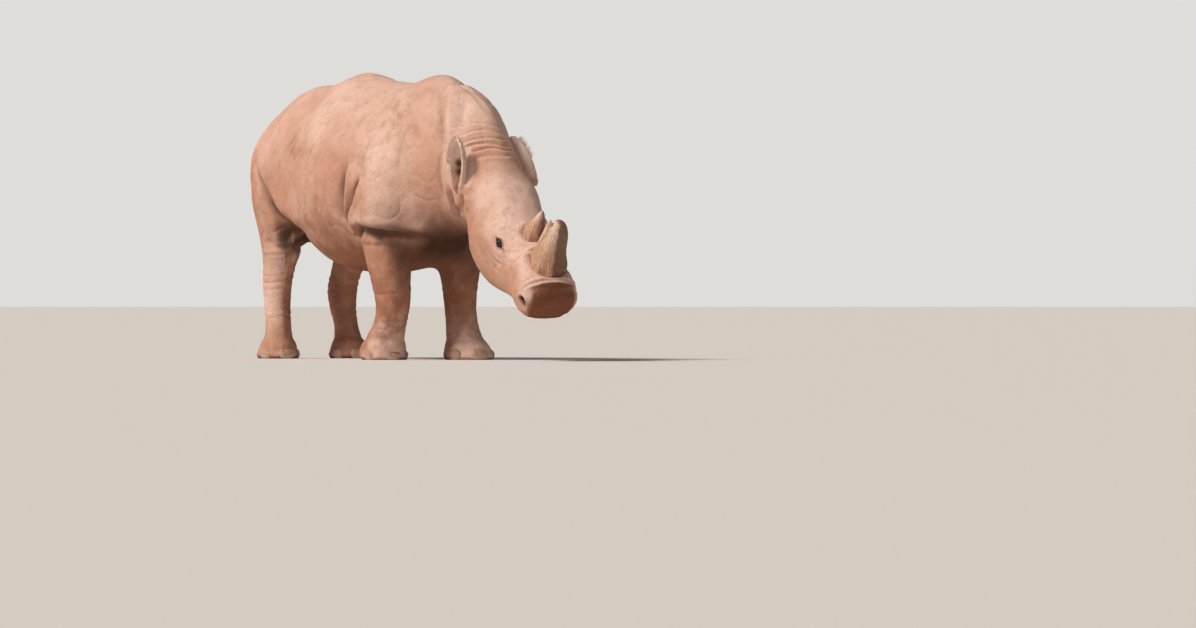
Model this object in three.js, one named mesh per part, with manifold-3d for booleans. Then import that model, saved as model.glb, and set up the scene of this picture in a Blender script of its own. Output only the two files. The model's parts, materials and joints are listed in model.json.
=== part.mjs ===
// A young southern white rhinoceros, life size, walking slowly with its head carried low.
// Millimetres. +X runs from tail to nose, +Y to the animal's left, +Z up, with the soles on z = 0.
// The origin is the middle of the bounding box's bottom face.
//
// Each fleshy part is a loft through a few rings. The parts are joined or cut by one another with
// a hairline gap between neighbours, so every named part is one closed solid.

import * as THREE from "three";
import { LoftGeometry } from "three/addons/geometries/LoftGeometry.js";
import { mergeVertices } from "three/addons/utils/BufferGeometryUtils.js";
import Module from "manifold-3d";

const wasm = await Module();
wasm.setup();

// ---- driving dimensions ----
const WITHERS = 1440; // top of the hump over the shoulders
const CROUP = 1402; // top of the hindquarters
const BELLY = 435; // lowest point of the trunk
const BARREL_HALF = 388; // half the greatest width of the barrel
const HEAD_LENGTH = 880; // crest of the skull to the front of the lips
const HEAD_BACK = new THREE.Vector3(1235, 40, 850); // middle of the head's hind end
const HEAD_PITCH = 42; // degrees the face points below the horizon
const HEAD_YAW = -5; // degrees the face turns from +X towards the animal's left
const HEAD_ROLL = 3; // degrees the left side of the head is raised
const FORE_TRACK_HALF = 205; // half the distance between the forefeet
const HIND_TRACK_HALF = 202; // half the distance between the hind feet
const GAP = 0.4; // between neighbouring parts
const RING_POINTS = 16; // points round the trunk, neck and head
const LIMB_POINTS = 10; // points round a limb

// ---- colours ----
const HIDE = { color: 0xcf9f85, roughness: 0.9, metalness: 0 };
const HORN = { color: 0xb98a6b, roughness: 0.7, metalness: 0 };
const NAIL = { color: 0xa98468, roughness: 0.6, metalness: 0 };
const EYE = { color: 0x2a1710, roughness: 0.15, metalness: 0 };

// ---- helpers ----

const radians = THREE.MathUtils.degToRad;

// Axes of a ring: ahead along the loft, left across it and up. pitch tips ahead below the horizon.
function axes({ pitch = 0, yaw = 0, roll = 0 }) {
  const turn = new THREE.Euler(radians(roll), radians(pitch), radians(yaw), "ZYX");
  const axis = (x, y, z) => new THREE.Vector3(x, y, z).applyEuler(turn);
  return { ahead: axis(1, 0, 0), left: axis(0, 1, 0), up: axis(0, 0, 1) };
}

// A closed ring of points: half is its reach to each side, up and down its reach the other way, and
// boxUp and boxDown how square it is (2 is round, less is gabled, more is boxy).
function ring(station, count, grow) {
  const { x, y = 0, z, half, up, down, boxUp = 2, boxDown = 2 } = station;
  const frame = axes(station);
  return Array.from({ length: count }, (_, i) => {
    const angle = (i / count) * 2 * Math.PI;
    const power = 2 / (i < count / 2 ? boxUp : boxDown);
    const side = Math.sign(Math.cos(angle)) * Math.abs(Math.cos(angle)) ** power;
    const rise = Math.sign(Math.sin(angle)) * Math.abs(Math.sin(angle)) ** power;
    const reach = (i < count / 2 ? up : down) + grow;
    return new THREE.Vector3(x, y, z)
      .addScaledVector(frame.left, side * (half + grow))
      .addScaledVector(frame.up, rise * reach);
  });
}

// Evenly spaced rows between stations, every number of a station on one cubic through its neighbours.
function rowsBetween(stations, rows) {
  const keys = Object.keys(stations[0]);
  const values = stations.flatMap((station) => keys.map((key) => station[key]));
  const places = stations.map((_, i) => i);
  const cubic = new THREE.CubicInterpolant(places, values, keys.length);
  return Array.from({ length: rows + 1 }, (_, i) => {
    const row = cubic.evaluate((i * (stations.length - 1)) / rows);
    return Object.fromEntries(keys.map((key, k) => [key, row[k]]));
  });
}

// Rings that round off an end of a loft, shrinking as they move out by depth in all.
function dome(station, depth, count = 3) {
  const { ahead } = axes(station);
  return Array.from({ length: count }, (_, i) => {
    const angle = ((i + 1) / (count + 0.35)) * (Math.PI / 2);
    const out = depth * Math.sin(angle);
    const shrunk = { ...station };
    for (const key of ["half", "up", "down"]) shrunk[key] *= Math.cos(angle);
    shrunk.x += ahead.x * out;
    shrunk.y = (station.y ?? 0) + ahead.y * out;
    shrunk.z += ahead.z * out;
    return shrunk;
  });
}

// The geometry's shared corners merged, as a solid that can be joined and cut.
function solid(geometry) {
  const bare = new THREE.BufferGeometry();
  bare.setAttribute("position", geometry.attributes.position);
  bare.setIndex(geometry.index);
  const merged = mergeVertices(bare, 1e-3);
  return new wasm.Manifold(
    new wasm.Mesh({
      numProp: 3,
      vertProperties: merged.attributes.position.array,
      triVerts: new Uint32Array(merged.index.array),
    }),
  );
}

// A solid through stations, domed at either end where a depth is given. grow fattens it all round.
function loft(stations, { rows, points = LIMB_POINTS, start = 0, end = 0, grow = 0 }) {
  const middle = rowsBetween(stations, rows);
  const before = start ? dome(middle[0], -start - grow).reverse() : [];
  const after = end ? dome(middle.at(-1), end + grow) : [];
  const rings = [...before, ...middle, ...after].map((row) => ring(row, points, grow));
  return solid(new LoftGeometry(rings, { capStart: true, capEnd: true }));
}

// A ball with its own reach along each axis of a frame.
function ball(at, reach, frame, grow = 0, detail = 8) {
  const geometry = new THREE.SphereGeometry(1, detail, Math.round(detail * 0.7));
  geometry.scale(...reach.map((r) => r + grow));
  const { ahead, left, up } = axes(frame);
  geometry.applyMatrix4(new THREE.Matrix4().makeBasis(ahead, left, up).setPosition(at));
  return solid(geometry);
}

const join = (...solids) => solids.reduce((all, next) => all.add(next));
const largest = (made) => made.decompose().sort((a, b) => b.volume() - a.volume())[0];

// The half of a solid on the side a plane's normal points to, and the half behind it.
function split(made, point, { ahead }) {
  const size = 6000;
  const halves = [1, -1].map((side) => {
    const geometry = new THREE.BoxGeometry(size, size, size);
    geometry.applyQuaternion(
      new THREE.Quaternion().setFromUnitVectors(new THREE.Vector3(1, 0, 0), ahead),
    );
    const centre = ahead.clone().multiplyScalar(side * (size / 2 + GAP / 2)).add(point);
    geometry.translate(centre.x, centre.y, centre.z);
    return largest(made.intersect(solid(geometry)));
  });
  return { front: halves[0], back: halves[1] };
}

const rhino = new THREE.Group();

function addPart(name, made, finish) {
  const { vertProperties, triVerts } = made.getMesh();
  const geometry = new THREE.BufferGeometry();
  geometry.setAttribute("position", new THREE.BufferAttribute(vertProperties, 3));
  geometry.setIndex(new THREE.BufferAttribute(triVerts, 1));
  const mesh = new THREE.Mesh(geometry, new THREE.MeshStandardMaterial(finish));
  mesh.name = name;
  rhino.add(mesh);
}

// ---- trunk: gabled over the bony croup, round and slung low at the belly ----

function trunk(grow) {
  const profile = [
    // x, widest height, half width, top, bottom, squareness above and below
    [-872, 985, 150, 1120, 800, 2.0, 2.0],
    [-810, 975, 238, 1215, 715, 1.9, 2.0],
    [-700, 955, 295, 1318, 645, 1.75, 2.0],
    [-560, 950, 322, 1386, 605, 1.7, 2.0],
    [-440, 945, 335, CROUP, 585, 1.7, 2.1],
    [-270, 930, 354, CROUP, 525, 1.75, 2.1],
    [-110, 915, 374, 1445, 462, 1.75, 2.1],
    [-10, 905, 384, 1457, 443, 1.8, 2.1],
    [170, 890, BARREL_HALF, 1424, BELLY, 1.85, 2.1],
    [360, 890, 375, 1402, 440, 1.85, 2.1],
    [540, 900, 345, 1396, 455, 1.85, 2.1],
    [680, 920, 312, 1428, 480, 1.8, 2.1],
    [790, 930, 280, WITHERS, 520, 1.75, 2.1],
    [890, 930, 238, 1405, 590, 1.8, 2.0],
  ];
  const stations = profile.map(([x, z, half, top, bottom, boxUp, boxDown]) => ({
    x,
    z,
    half,
    up: top - z,
    down: z - bottom,
    boxUp,
    boxDown,
  }));
  return loft(stations, { rows: 13, points: RING_POINTS, start: 48, end: 70, grow });
}

// ---- neck: thick, humped above, sloping down into the back of the head ----

const NECK = [
  { x: 640, y: 0, z: 960, pitch: 10, yaw: 0, half: 290, up: 430, down: 440, boxUp: 1.6, boxDown: 2 },
  { x: 850, y: 0, z: 965, pitch: 20, yaw: 0, half: 258, up: 430, down: 400, boxUp: 1.5, boxDown: 2 },
  { x: 1020, y: 6, z: 915, pitch: 29, yaw: -1, half: 218, up: 378, down: 335, boxUp: 1.5, boxDown: 2 },
  { x: 1140, y: 18, z: 870, pitch: 36, yaw: -3, half: 182, up: 298, down: 285, boxUp: 1.6, boxDown: 2 },
  { x: 1250, y: 34, z: 815, pitch: 42, yaw: -5, half: 152, up: 225, down: 225, boxUp: 1.9, boxDown: 2 },
];

function neck(grow) {
  return loft(NECK, { rows: 7, points: RING_POINTS, end: 40, grow });
}

// ---- head: long, deep in the cheek and square at the lips ----

const HEAD_FRAME = { pitch: HEAD_PITCH, yaw: HEAD_YAW, roll: HEAD_ROLL };

// A place on the head: how far along it, out to the left and above its axis, in head lengths.
function onHead(along, left, above) {
  const frame = axes(HEAD_FRAME);
  return HEAD_BACK.clone()
    .addScaledVector(frame.ahead, along * HEAD_LENGTH)
    .addScaledVector(frame.left, left * HEAD_LENGTH)
    .addScaledVector(frame.up, above * HEAD_LENGTH);
}

const HEAD_SHAPE = [
  // along, half width, top, bottom, squareness above and below, all but the last two in head lengths
  [0.0, 0.172, 0.192, -0.21, 2.1, 2.0],
  [0.1, 0.198, 0.204, -0.27, 2.2, 2.2],
  [0.22, 0.204, 0.192, -0.325, 2.4, 2.6],
  [0.35, 0.197, 0.176, -0.345, 2.5, 2.9],
  [0.48, 0.182, 0.168, -0.325, 2.5, 2.9],
  [0.6, 0.155, 0.17, -0.262, 2.4, 2.6],
  [0.72, 0.145, 0.162, -0.208, 2.4, 2.5],
  [0.83, 0.156, 0.145, -0.176, 2.6, 2.6],
  [0.92, 0.155, 0.118, -0.142, 2.8, 2.8],
  [0.97, 0.139, 0.09, -0.104, 2.9, 2.9],
];

function headShape(grow) {
  const stations = HEAD_SHAPE.map(([along, half, top, bottom, boxUp, boxDown]) => {
    const middle = (top + bottom) / 2 + 0.02;
    const at = onHead(along, 0, middle);
    return {
      x: at.x,
      y: at.y,
      z: at.z,
      ...HEAD_FRAME,
      half: half * HEAD_LENGTH,
      up: (top - middle) * HEAD_LENGTH,
      down: (middle - bottom) * HEAD_LENGTH,
      boxUp,
      boxDown,
    };
  });
  return loft(stations, { rows: 12, points: RING_POINTS, start: 40, end: 26, grow });
}

// ---- limbs: the rings run down the leg, so up is forward and down is backward ----

// A limb from rows of [height, forward place, outward place, half width, reach forward, reach back,
// degrees the ring tips]. side is 1 on the left and -1 on the right.
function limb(side, table, options) {
  const stations = table.map(([z, x, out, half, front, rear, tip = 0]) => ({
    x,
    y: side * out,
    z,
    pitch: 90 + tip,
    yaw: 0,
    half,
    up: front,
    down: rear,
  }));
  return loft(stations, options);
}

const SHOULDER = [
  [1130, 690, 155, 85, 120, 120],
  [1040, 670, 190, 124, 175, 170],
  [900, 645, 205, 152, 205, 190],
  [760, 620, 208, 156, 195, 180],
  [665, 600, 210, 150, 172, 158],
];

// The right forefoot rests on its toes with the heel just lifted; the left one stands flat ahead.
const FORELEG = {
  right: [
    [800, 540, FORE_TRACK_HALF, 128, 150, 150],
    [640, 540, FORE_TRACK_HALF, 130, 150, 148],
    [500, 562, FORE_TRACK_HALF, 112, 124, 122],
    [360, 606, FORE_TRACK_HALF, 98, 104, 104],
    [270, 622, FORE_TRACK_HALF, 92, 96, 96, 6],
    [180, 590, FORE_TRACK_HALF, 82, 84, 86, 14],
    [110, 545, FORE_TRACK_HALF, 92, 98, 104, 16],
    [50, 515, FORE_TRACK_HALF, 108, 120, 118, 14],
    [6, 505, FORE_TRACK_HALF, 112, 122, 122, 12],
  ],
  left: [
    [800, 560, FORE_TRACK_HALF, 128, 150, 150],
    [640, 565, FORE_TRACK_HALF, 130, 148, 148],
    [500, 572, FORE_TRACK_HALF, 112, 122, 122],
    [360, 575, FORE_TRACK_HALF, 94, 94, 98],
    [270, 578, FORE_TRACK_HALF, 88, 84, 92],
    [180, 590, FORE_TRACK_HALF, 80, 80, 80, -6],
    [105, 616, FORE_TRACK_HALF, 90, 102, 92, -6],
    [48, 645, FORE_TRACK_HALF, 112, 130, 118],
    [0, 652, FORE_TRACK_HALF, 117, 134, 124],
  ],
};

const HINDLEG = {
  right: [
    [1150, -500, 160, 120, 180, 180],
    [1010, -525, 190, 150, 235, 245],
    [860, -540, 200, 150, 235, 255],
    [720, -560, 205, 118, 195, 185],
    [610, -560, 205, 98, 155, 138],
    [500, -575, HIND_TRACK_HALF, 80, 112, 106],
    [390, -600, HIND_TRACK_HALF, 70, 88, 98],
    [310, -602, HIND_TRACK_HALF, 68, 80, 96],
    [190, -588, HIND_TRACK_HALF, 60, 68, 66],
    [110, -592, HIND_TRACK_HALF, 72, 84, 76],
    [45, -606, HIND_TRACK_HALF, 94, 116, 104],
    [0, -608, HIND_TRACK_HALF, 98, 120, 110],
  ],
  left: [
    [1150, -490, 160, 120, 180, 180],
    [1010, -510, 190, 150, 235, 245],
    [860, -515, 200, 150, 235, 250],
    [720, -525, 205, 118, 205, 185],
    [610, -535, 205, 98, 165, 138],
    [500, -570, HIND_TRACK_HALF, 82, 122, 112],
    [390, -636, HIND_TRACK_HALF, 73, 96, 112],
    [310, -652, HIND_TRACK_HALF, 72, 90, 120],
    [190, -612, HIND_TRACK_HALF, 60, 70, 66],
    [110, -596, HIND_TRACK_HALF, 72, 86, 76],
    [45, -586, HIND_TRACK_HALF, 94, 116, 104],
    [0, -584, HIND_TRACK_HALF, 98, 120, 110],
  ],
};

// ---- tail: hangs clear of the rump and flattens into a bristly tip ----

const TAIL = [
  { x: -800, y: 0, z: 1170, pitch: 150, yaw: 0, half: 52, up: 50, down: 50 },
  { x: -890, y: 0, z: 1110, pitch: 120, yaw: 0, half: 42, up: 38, down: 38 },
  { x: -945, y: 4, z: 1000, pitch: 98, yaw: 0, half: 30, up: 26, down: 26 },
  { x: -955, y: 12, z: 840, pitch: 90, yaw: 0, half: 22, up: 18, down: 18 },
  { x: -952, y: 20, z: 700, pitch: 88, yaw: 0, half: 26, up: 15, down: 15 },
  { x: -948, y: 24, z: 620, pitch: 88, yaw: 0, half: 30, up: 12, down: 12 },
];

function tail(grow) {
  return loft(TAIL, { rows: 10, points: 8, start: 20, end: 45, grow });
}

// ---- ears: a rolled leaf open to the front and side, the left one laid back ----

// where each ear is rooted, which way it leans and its mouth faces, its size and the share of it
// inside the head
const EARS = {
  right: {
    root: [-0.04, -0.232, 0.045],
    lean: [0.22, -0.18, 1],
    mouth: [0.6, -0.8, 0],
    wide: 0.86,
    length: 262,
    sunk: 0.18,
  },
  left: {
    root: [-0.075, 0.203, 0.035],
    lean: [-0.5, 0.04, 0.85],
    mouth: [0.1, 1, 0],
    wide: 1.08,
    length: 285,
    sunk: 0.27,
  },
};

function ear(side, grow) {
  const wall = 13;
  const arcPoints = 7;
  const rows = 8;
  const { root, lean, mouth: facing, wide, length, sunk } = side > 0 ? EARS.left : EARS.right;
  const along = new THREE.Vector3(...lean).normalize();
  const mouth = new THREE.Vector3(...facing);
  mouth.addScaledVector(along, -mouth.dot(along)).normalize();
  const across = new THREE.Vector3().crossVectors(mouth, along);
  const base = onHead(...root);
  const rings = Array.from({ length: rows + 1 }, (_, i) => {
    const t = i / rows;
    // the ear swells to its middle and closes at a blunt tip
    const radius = wide * (36 + 18 * Math.sin(Math.PI * t) - 9 * t ** 4);
    const wrap = radians(THREE.MathUtils.lerp(160, 92, t ** 0.7)) + (2 * grow) / radius;
    const deeper = i === 0 ? -2 * grow : 0;
    const centre = base.clone().addScaledVector(along, (t - sunk) * length + deeper);
    const arc = (r, from, to) =>
      Array.from({ length: arcPoints }, (_, k) => {
        const angle = THREE.MathUtils.lerp(from, to, k / (arcPoints - 1));
        return centre
          .clone()
          .addScaledVector(mouth, -Math.cos(angle) * r)
          .addScaledVector(across, Math.sin(angle) * r);
      });
    return [...arc(radius + grow, -wrap, wrap), ...arc(radius - wall - grow, wrap, -wrap)];
  });
  return solid(new LoftGeometry(rings, { capStart: true, capEnd: true }));
}

// The muscle each ear stands on, bulging from the back of the skull.
function earRoot(side) {
  const [along, left, above] = (side > 0 ? EARS.left : EARS.right).root;
  return ball(onHead(along + 0.035, left * 0.84, above - 0.045), [66, 48, 58], HEAD_FRAME, 0, 6);
}

// ---- horns: blunt cones of packed fibre on raised bosses ----

function horn({ along, left = 0, above, length, half, front, rear, tip, lean }, grow) {
  const rows = 5;
  const root = 0.045 * HEAD_LENGTH;
  const base = onHead(along, left, above);
  const pitch = HEAD_PITCH - 90 - lean;
  const { ahead } = axes({ pitch, yaw: HEAD_YAW });
  const stations = Array.from({ length: rows + 1 }, (_, i) => {
    const t = i / rows;
    const taper = (wide) => THREE.MathUtils.lerp(wide, tip, t);
    const at = base.clone().addScaledVector(ahead, t * (length + root) - root);
    return {
      x: at.x,
      y: at.y,
      z: at.z,
      pitch,
      yaw: HEAD_YAW,
      half: taper(half),
      up: taper(rear),
      down: taper(front),
    };
  });
  return loft(stations, { rows, points: 10, start: 14, end: tip * 0.6, grow });
}

const FRONT_HORN = {
  along: 0.787,
  left: 0.018,
  above: 0.14,
  length: 228,
  half: 96,
  front: 90,
  rear: 94,
  tip: 36,
  lean: 9,
};
// a worn spur left standing behind the front horn, on its right
const SPUR = {
  along: 0.735,
  left: -0.036,
  above: 0.19,
  length: 196,
  half: 34,
  front: 34,
  rear: 32,
  tip: 10,
  lean: 2,
};
const REAR_HORN = {
  along: 0.562,
  above: 0.172,
  length: 132,
  half: 58,
  front: 58,
  rear: 70,
  tip: 13,
  lean: 4,
};

const frontHorn = (grow) => join(horn(FRONT_HORN, grow), horn(SPUR, grow));
const rearHorn = (grow) => horn(REAR_HORN, grow);

// ---- eyes, nostrils and nails ----

const EYE_RADIUS = 17;
const eyeAt = (side) => onHead(0.5, side * 0.161, 0.05);
const eyeball = (side, grow) => ball(eyeAt(side), Array(3).fill(EYE_RADIUS), HEAD_FRAME, grow);

function nostril(side) {
  return ball(onHead(0.9, side * 0.16, 0.01), [24, 16, 13], HEAD_FRAME, 0, 8);
}

// Three nails round the front of a foot: the middle one broad, the outer ones turned sideways.
function nails(foot, side) {
  return [-1, 0, 1].map((place) => {
    const yaw = place * 62;
    const { ahead } = axes({ yaw });
    const middle = place === 0;
    const reach = middle ? foot.front - 10 : foot.half - 4;
    const at = new THREE.Vector3(foot.x, side * foot.out, 26).addScaledVector(ahead, reach);
    return (grow) => ball(at, [24, middle ? 50 : 38, 34], { yaw, pitch: -14 }, grow, 6);
  });
}

// What is left of a foot or nail once the floor has cut it flat.
function standing(made) {
  const floor = new THREE.Vector3(0, 0, -GAP / 2);
  return split(made, floor, { ahead: new THREE.Vector3(0, 0, 1) }).front;
}

// ---- assembly ----

const SIDES = { right: -1, left: 1 };
const LIMB_OPTIONS = { rows: 9, start: 30 };

function shoulder(side, grow) {
  return limb(side, SHOULDER, { rows: 7, start: 40, end: 32, grow });
}

const limbs = Object.entries(SIDES).flatMap(([name, side]) => [
  { name, side, kind: "fore", table: FORELEG[name] },
  { name, side, kind: "hind", table: HINDLEG[name] },
]);
const legSolid = (leg, grow) => limb(leg.side, leg.table, { ...LIMB_OPTIONS, grow });

let torso = join(trunk(0), neck(0), headShape(0), earRoot(1), earRoot(-1)).subtract(tail(GAP));
for (const leg of limbs) torso = torso.subtract(legSolid(leg, GAP));

for (const [name, side] of Object.entries(SIDES)) {
  torso = torso.subtract(shoulder(side, GAP)).subtract(ear(side, GAP)).subtract(nostril(side));
  torso = torso.subtract(eyeball(side, GAP));
  addPart(`ear_${name}`, ear(side, 0), HIDE);
  addPart(`eye_${name}`, eyeball(side, 0), EYE);
}
for (const [name, shape] of Object.entries({ horn_front: frontHorn, horn_rear: rearHorn })) {
  torso = torso.subtract(shape(GAP));
  addPart(name, shape(0), HORN);
}

const face = split(torso, onHead(0.03, 0, 0), axes(HEAD_FRAME));
const mouthPlane = axes({ ...HEAD_FRAME, pitch: HEAD_PITCH - 90 - 4 });
const jaws = split(face.front, onHead(1, 0, -0.085), mouthPlane);
addPart("head", jaws.front, HIDE);
addPart("lower_jaw", jaws.back, HIDE);
const collar = split(face.back, new THREE.Vector3(905, 0, 900), axes({ pitch: 14 }));
addPart("neck", collar.front, HIDE);
addPart("trunk", collar.back, HIDE);
addPart("tail", tail(0), HIDE);

for (const leg of limbs) {
  const { name, side, kind, table } = leg;
  const sole = table.at(-1);
  const foot = { x: sole[1], out: sole[2], half: sole[3], front: sole[4] };
  let whole = legSolid(leg, 0);
  if (kind === "fore") {
    addPart(`shoulder_${name}`, shoulder(side, 0), HIDE);
    whole = largest(whole.subtract(shoulder(side, GAP)));
  }
  whole = standing(whole);
  nails(foot, side).forEach((nail, i) => {
    whole = whole.subtract(nail(GAP));
    addPart(`nail_${kind}_${name}_${i + 1}`, standing(nail(0)), NAIL);
  });
  const joints = kind === "fore" ? { lower: 300, foot: 120 } : { lower: 400, foot: 115 };
  const knee = split(whole, new THREE.Vector3(0, 0, joints.lower), axes({ pitch: -90 }));
  const ankle = split(knee.back, new THREE.Vector3(0, 0, joints.foot), axes({ pitch: -90 }));
  addPart(`${kind}leg_${name}_upper`, knee.front, HIDE);
  addPart(`${kind}leg_${name}_lower`, ankle.front, HIDE);
  addPart(`${kind}foot_${name}`, ankle.back, HIDE);
}

// The origin goes to the middle of the bottom of the whole animal's box.
const box = new THREE.Box3().setFromObject(rhino);
const centre = box.getCenter(new THREE.Vector3());
rhino.position.set(-centre.x, -centre.y, 0);

export default rhino;
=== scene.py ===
"""A young southern white rhinoceros as a life-size museum figure.

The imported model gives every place: the skin is made from its flesh parts, then folded, wrinkled
and given lids, nostrils and lips, and the horns, eyes, nails and bristles are set on it.
Everything is in metres, +X towards the nose, +Y to the animal's left and +Z up.
"""

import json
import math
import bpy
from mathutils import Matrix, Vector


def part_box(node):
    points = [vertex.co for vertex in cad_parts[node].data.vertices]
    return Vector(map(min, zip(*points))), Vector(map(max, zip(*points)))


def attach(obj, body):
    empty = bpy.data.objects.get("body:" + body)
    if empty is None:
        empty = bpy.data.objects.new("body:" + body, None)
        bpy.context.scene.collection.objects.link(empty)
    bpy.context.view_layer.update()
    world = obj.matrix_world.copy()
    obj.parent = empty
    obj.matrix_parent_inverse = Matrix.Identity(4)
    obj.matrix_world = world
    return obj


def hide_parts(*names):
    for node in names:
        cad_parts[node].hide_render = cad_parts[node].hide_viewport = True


bl_info = {
    "name": "White Rhinoceros Figure",
    "version": (1, 0, 0),
    "blender": (4, 5, 0),
    "location": "3D View > Sidebar > Rhinoceros",
    "description": "Builds a life-size young white rhinoceros around its packed frame",
    "category": "Object",
}

import bmesh
import bpy
import numpy as np
from mathutils import Matrix, Vector

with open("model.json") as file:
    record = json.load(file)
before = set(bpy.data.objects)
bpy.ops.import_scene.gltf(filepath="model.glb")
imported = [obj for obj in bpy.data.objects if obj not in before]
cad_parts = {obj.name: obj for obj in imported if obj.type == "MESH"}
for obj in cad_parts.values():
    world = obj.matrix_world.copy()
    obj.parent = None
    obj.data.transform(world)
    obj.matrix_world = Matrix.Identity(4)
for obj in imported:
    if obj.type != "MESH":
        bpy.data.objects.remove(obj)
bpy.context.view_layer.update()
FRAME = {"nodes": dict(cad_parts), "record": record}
NODES = sorted(FRAME["nodes"])
SLOT_OF = {s["node"]: s["material_slot"] for s in FRAME["record"]["subparts"]}
FLESH = [name for name in NODES if SLOT_OF[name] == "hide"]
THIN_FLESH = [name for name in FLESH if name.startswith(("ear", "tail"))]
SIDES = {"right": -1, "left": 1}

# ---------------------------------------------------------------- places


def middle(node):
    """The middle of the box round a node."""
    low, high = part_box(node)
    return (low + high) / 2


def unit(v):
    """The vector of length 1 that points the same way."""
    return v / np.linalg.norm(v)


TRUNK_LOW, TRUNK_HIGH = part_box("trunk")
EYES = {name: np.array(middle(f"eye_{name}")) for name in SIDES}
EYE_RADIUS = (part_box("eye_left")[1].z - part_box("eye_left")[0].z) / 2

# The head's own axes. The eyes lie across it, and its face points down by FACE_PITCH.
FACE_PITCH = math.radians(42)
HEAD_LENGTH = 0.88
HEAD_LEFT = unit(EYES["left"] - EYES["right"])
HEAD_LEVEL = unit(np.cross(HEAD_LEFT, (0, 0, 1)))
HEAD_UP = unit(
    np.cross(HEAD_LEVEL, HEAD_LEFT) * math.cos(FACE_PITCH) + HEAD_LEVEL * math.sin(FACE_PITCH)
)
HEAD_AHEAD = np.cross(HEAD_LEFT, HEAD_UP)
HEAD_AXES = np.array([HEAD_AHEAD, HEAD_LEFT, HEAD_UP])
EYE_ALONG, EYE_ABOVE = 0.5, 0.05
HEAD_ORIGIN = (EYES["left"] + EYES["right"]) / 2 - HEAD_LENGTH * (
    EYE_ALONG * HEAD_AHEAD + EYE_ABOVE * HEAD_UP
)


def on_head(along, left, above):
    """A place on the head: along it, to its left and above its axis, in head lengths."""
    return HEAD_ORIGIN + HEAD_LENGTH * np.array([along, left, above]) @ HEAD_AXES


def head_places(co):
    """Each point's place on the head, in head lengths."""
    return (co - HEAD_ORIGIN) @ HEAD_AXES.T / HEAD_LENGTH


def flank(along, up):
    """A place seen from the side: 0 to 1 from rump to chest, and from the floor to the withers."""
    return np.array([TRUNK_LOW.x + along * (TRUNK_HIGH.x - TRUNK_LOW.x), up * TRUNK_HIGH.z])


def flank_places(co):
    """How far along and how far up the trunk each point is, as flank counts them."""
    along = (co[:, 0] - TRUNK_LOW.x) / (TRUNK_HIGH.x - TRUNK_LOW.x)
    return along, co[:, 2] / TRUNK_HIGH.z


# ---------------------------------------------------------------- sculpting


def step(x):
    """0 below 0, 1 above 1 and smooth between."""
    x = np.clip(x, 0, 1)
    return x * x * (3 - 2 * x)


def bell(x):
    """1 at 0, falling to nothing past about 2 on both sides."""
    return np.exp(-(x**2))


def read(mesh, field="co", size=3, kind=np.float64):
    """A row for each vertex, or for each edge when the field is its two ends, "vertices"."""
    source = mesh.edges if field == "vertices" else mesh.vertices
    values = np.empty(len(source) * size, kind)
    source.foreach_get(field, values)
    return values.reshape(-1, size)


def write(mesh, co):
    """Moves the vertices to these places."""
    mesh.vertices.foreach_set("co", np.ascontiguousarray(co, np.float32).ravel())
    mesh.update()


def normals(mesh):
    """The way out of the surface at each vertex."""
    values = np.empty(len(mesh.vertices) * 3, np.float32)
    mesh.vertex_normals.foreach_get("vector", values)
    return values.reshape(-1, 3).astype(float)


def relax(mesh, times, weight=1.0):
    """Smooths the mesh by moving each vertex towards its neighbours' middle."""
    co = read(mesh)
    ends = read(mesh, "vertices", 2, np.int32)
    count = len(co)
    first, second = ends[:, 0], ends[:, 1]
    share = 1 / np.maximum(np.bincount(ends.ravel(), minlength=count), 1)
    pull = 0.6 * np.broadcast_to(weight, count)
    for _ in range(times):
        for k in range(3):
            total = np.bincount(first, co[second, k], count)
            total += np.bincount(second, co[first, k], count)
            co[:, k] += pull * (total * share - co[:, k])
    write(mesh, co)


def raise_skin(mesh, height):
    """Moves each vertex along its normal."""
    write(mesh, read(mesh) + normals(mesh) * height[:, None])


def curve_through(points, steps=8):
    """Points on a smooth curve through the given ones."""
    p = np.array(points, float)
    p = np.vstack([2 * p[0] - p[1], p, 2 * p[-1] - p[-2]])
    t = np.linspace(0, 1, steps, endpoint=False)[:, None]
    spans = []
    for a, b, c, d in zip(p, p[1:], p[2:], p[3:]):
        spans.append(
            b
            + 0.5 * t * (c - a)
            + t**2 * (a - 2.5 * b + 2 * c - 0.5 * d)
            + t**3 * (1.5 * (b - c) + 0.5 * (d - a))
        )
    return np.vstack(spans + [p[-2:-1]])


def beside(place, path, reach):
    """Which points lie within reach of a flat path, how far to its left each is, and how far along
    it, 0 to 1."""
    low, high = path.min(0) - reach, path.max(0) + reach
    near = np.flatnonzero(((place > low) & (place < high)).all(1))
    q = place[near]
    best = np.full(len(q), np.inf)
    side = np.zeros(len(q))
    along = np.zeros(len(q))
    lengths = np.linalg.norm(np.diff(path, axis=0), axis=1)
    run = np.concatenate([[0], np.cumsum(lengths)])
    for i, (a, b) in enumerate(zip(path, path[1:])):
        way = (b - a) / lengths[i]
        t = np.clip((q - a) @ way, 0, lengths[i])
        off = q - a - t[:, None] * way
        far = np.linalg.norm(off, axis=1)
        closer = far < best
        best[closer] = far[closer]
        turn = way[0] * off[:, 1] - way[1] * off[:, 0]
        side[closer] = np.sign(turn)[closer]
        along[closer] = (run[i] + t)[closer] / run[-1]
    return near, best * side, along


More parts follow.
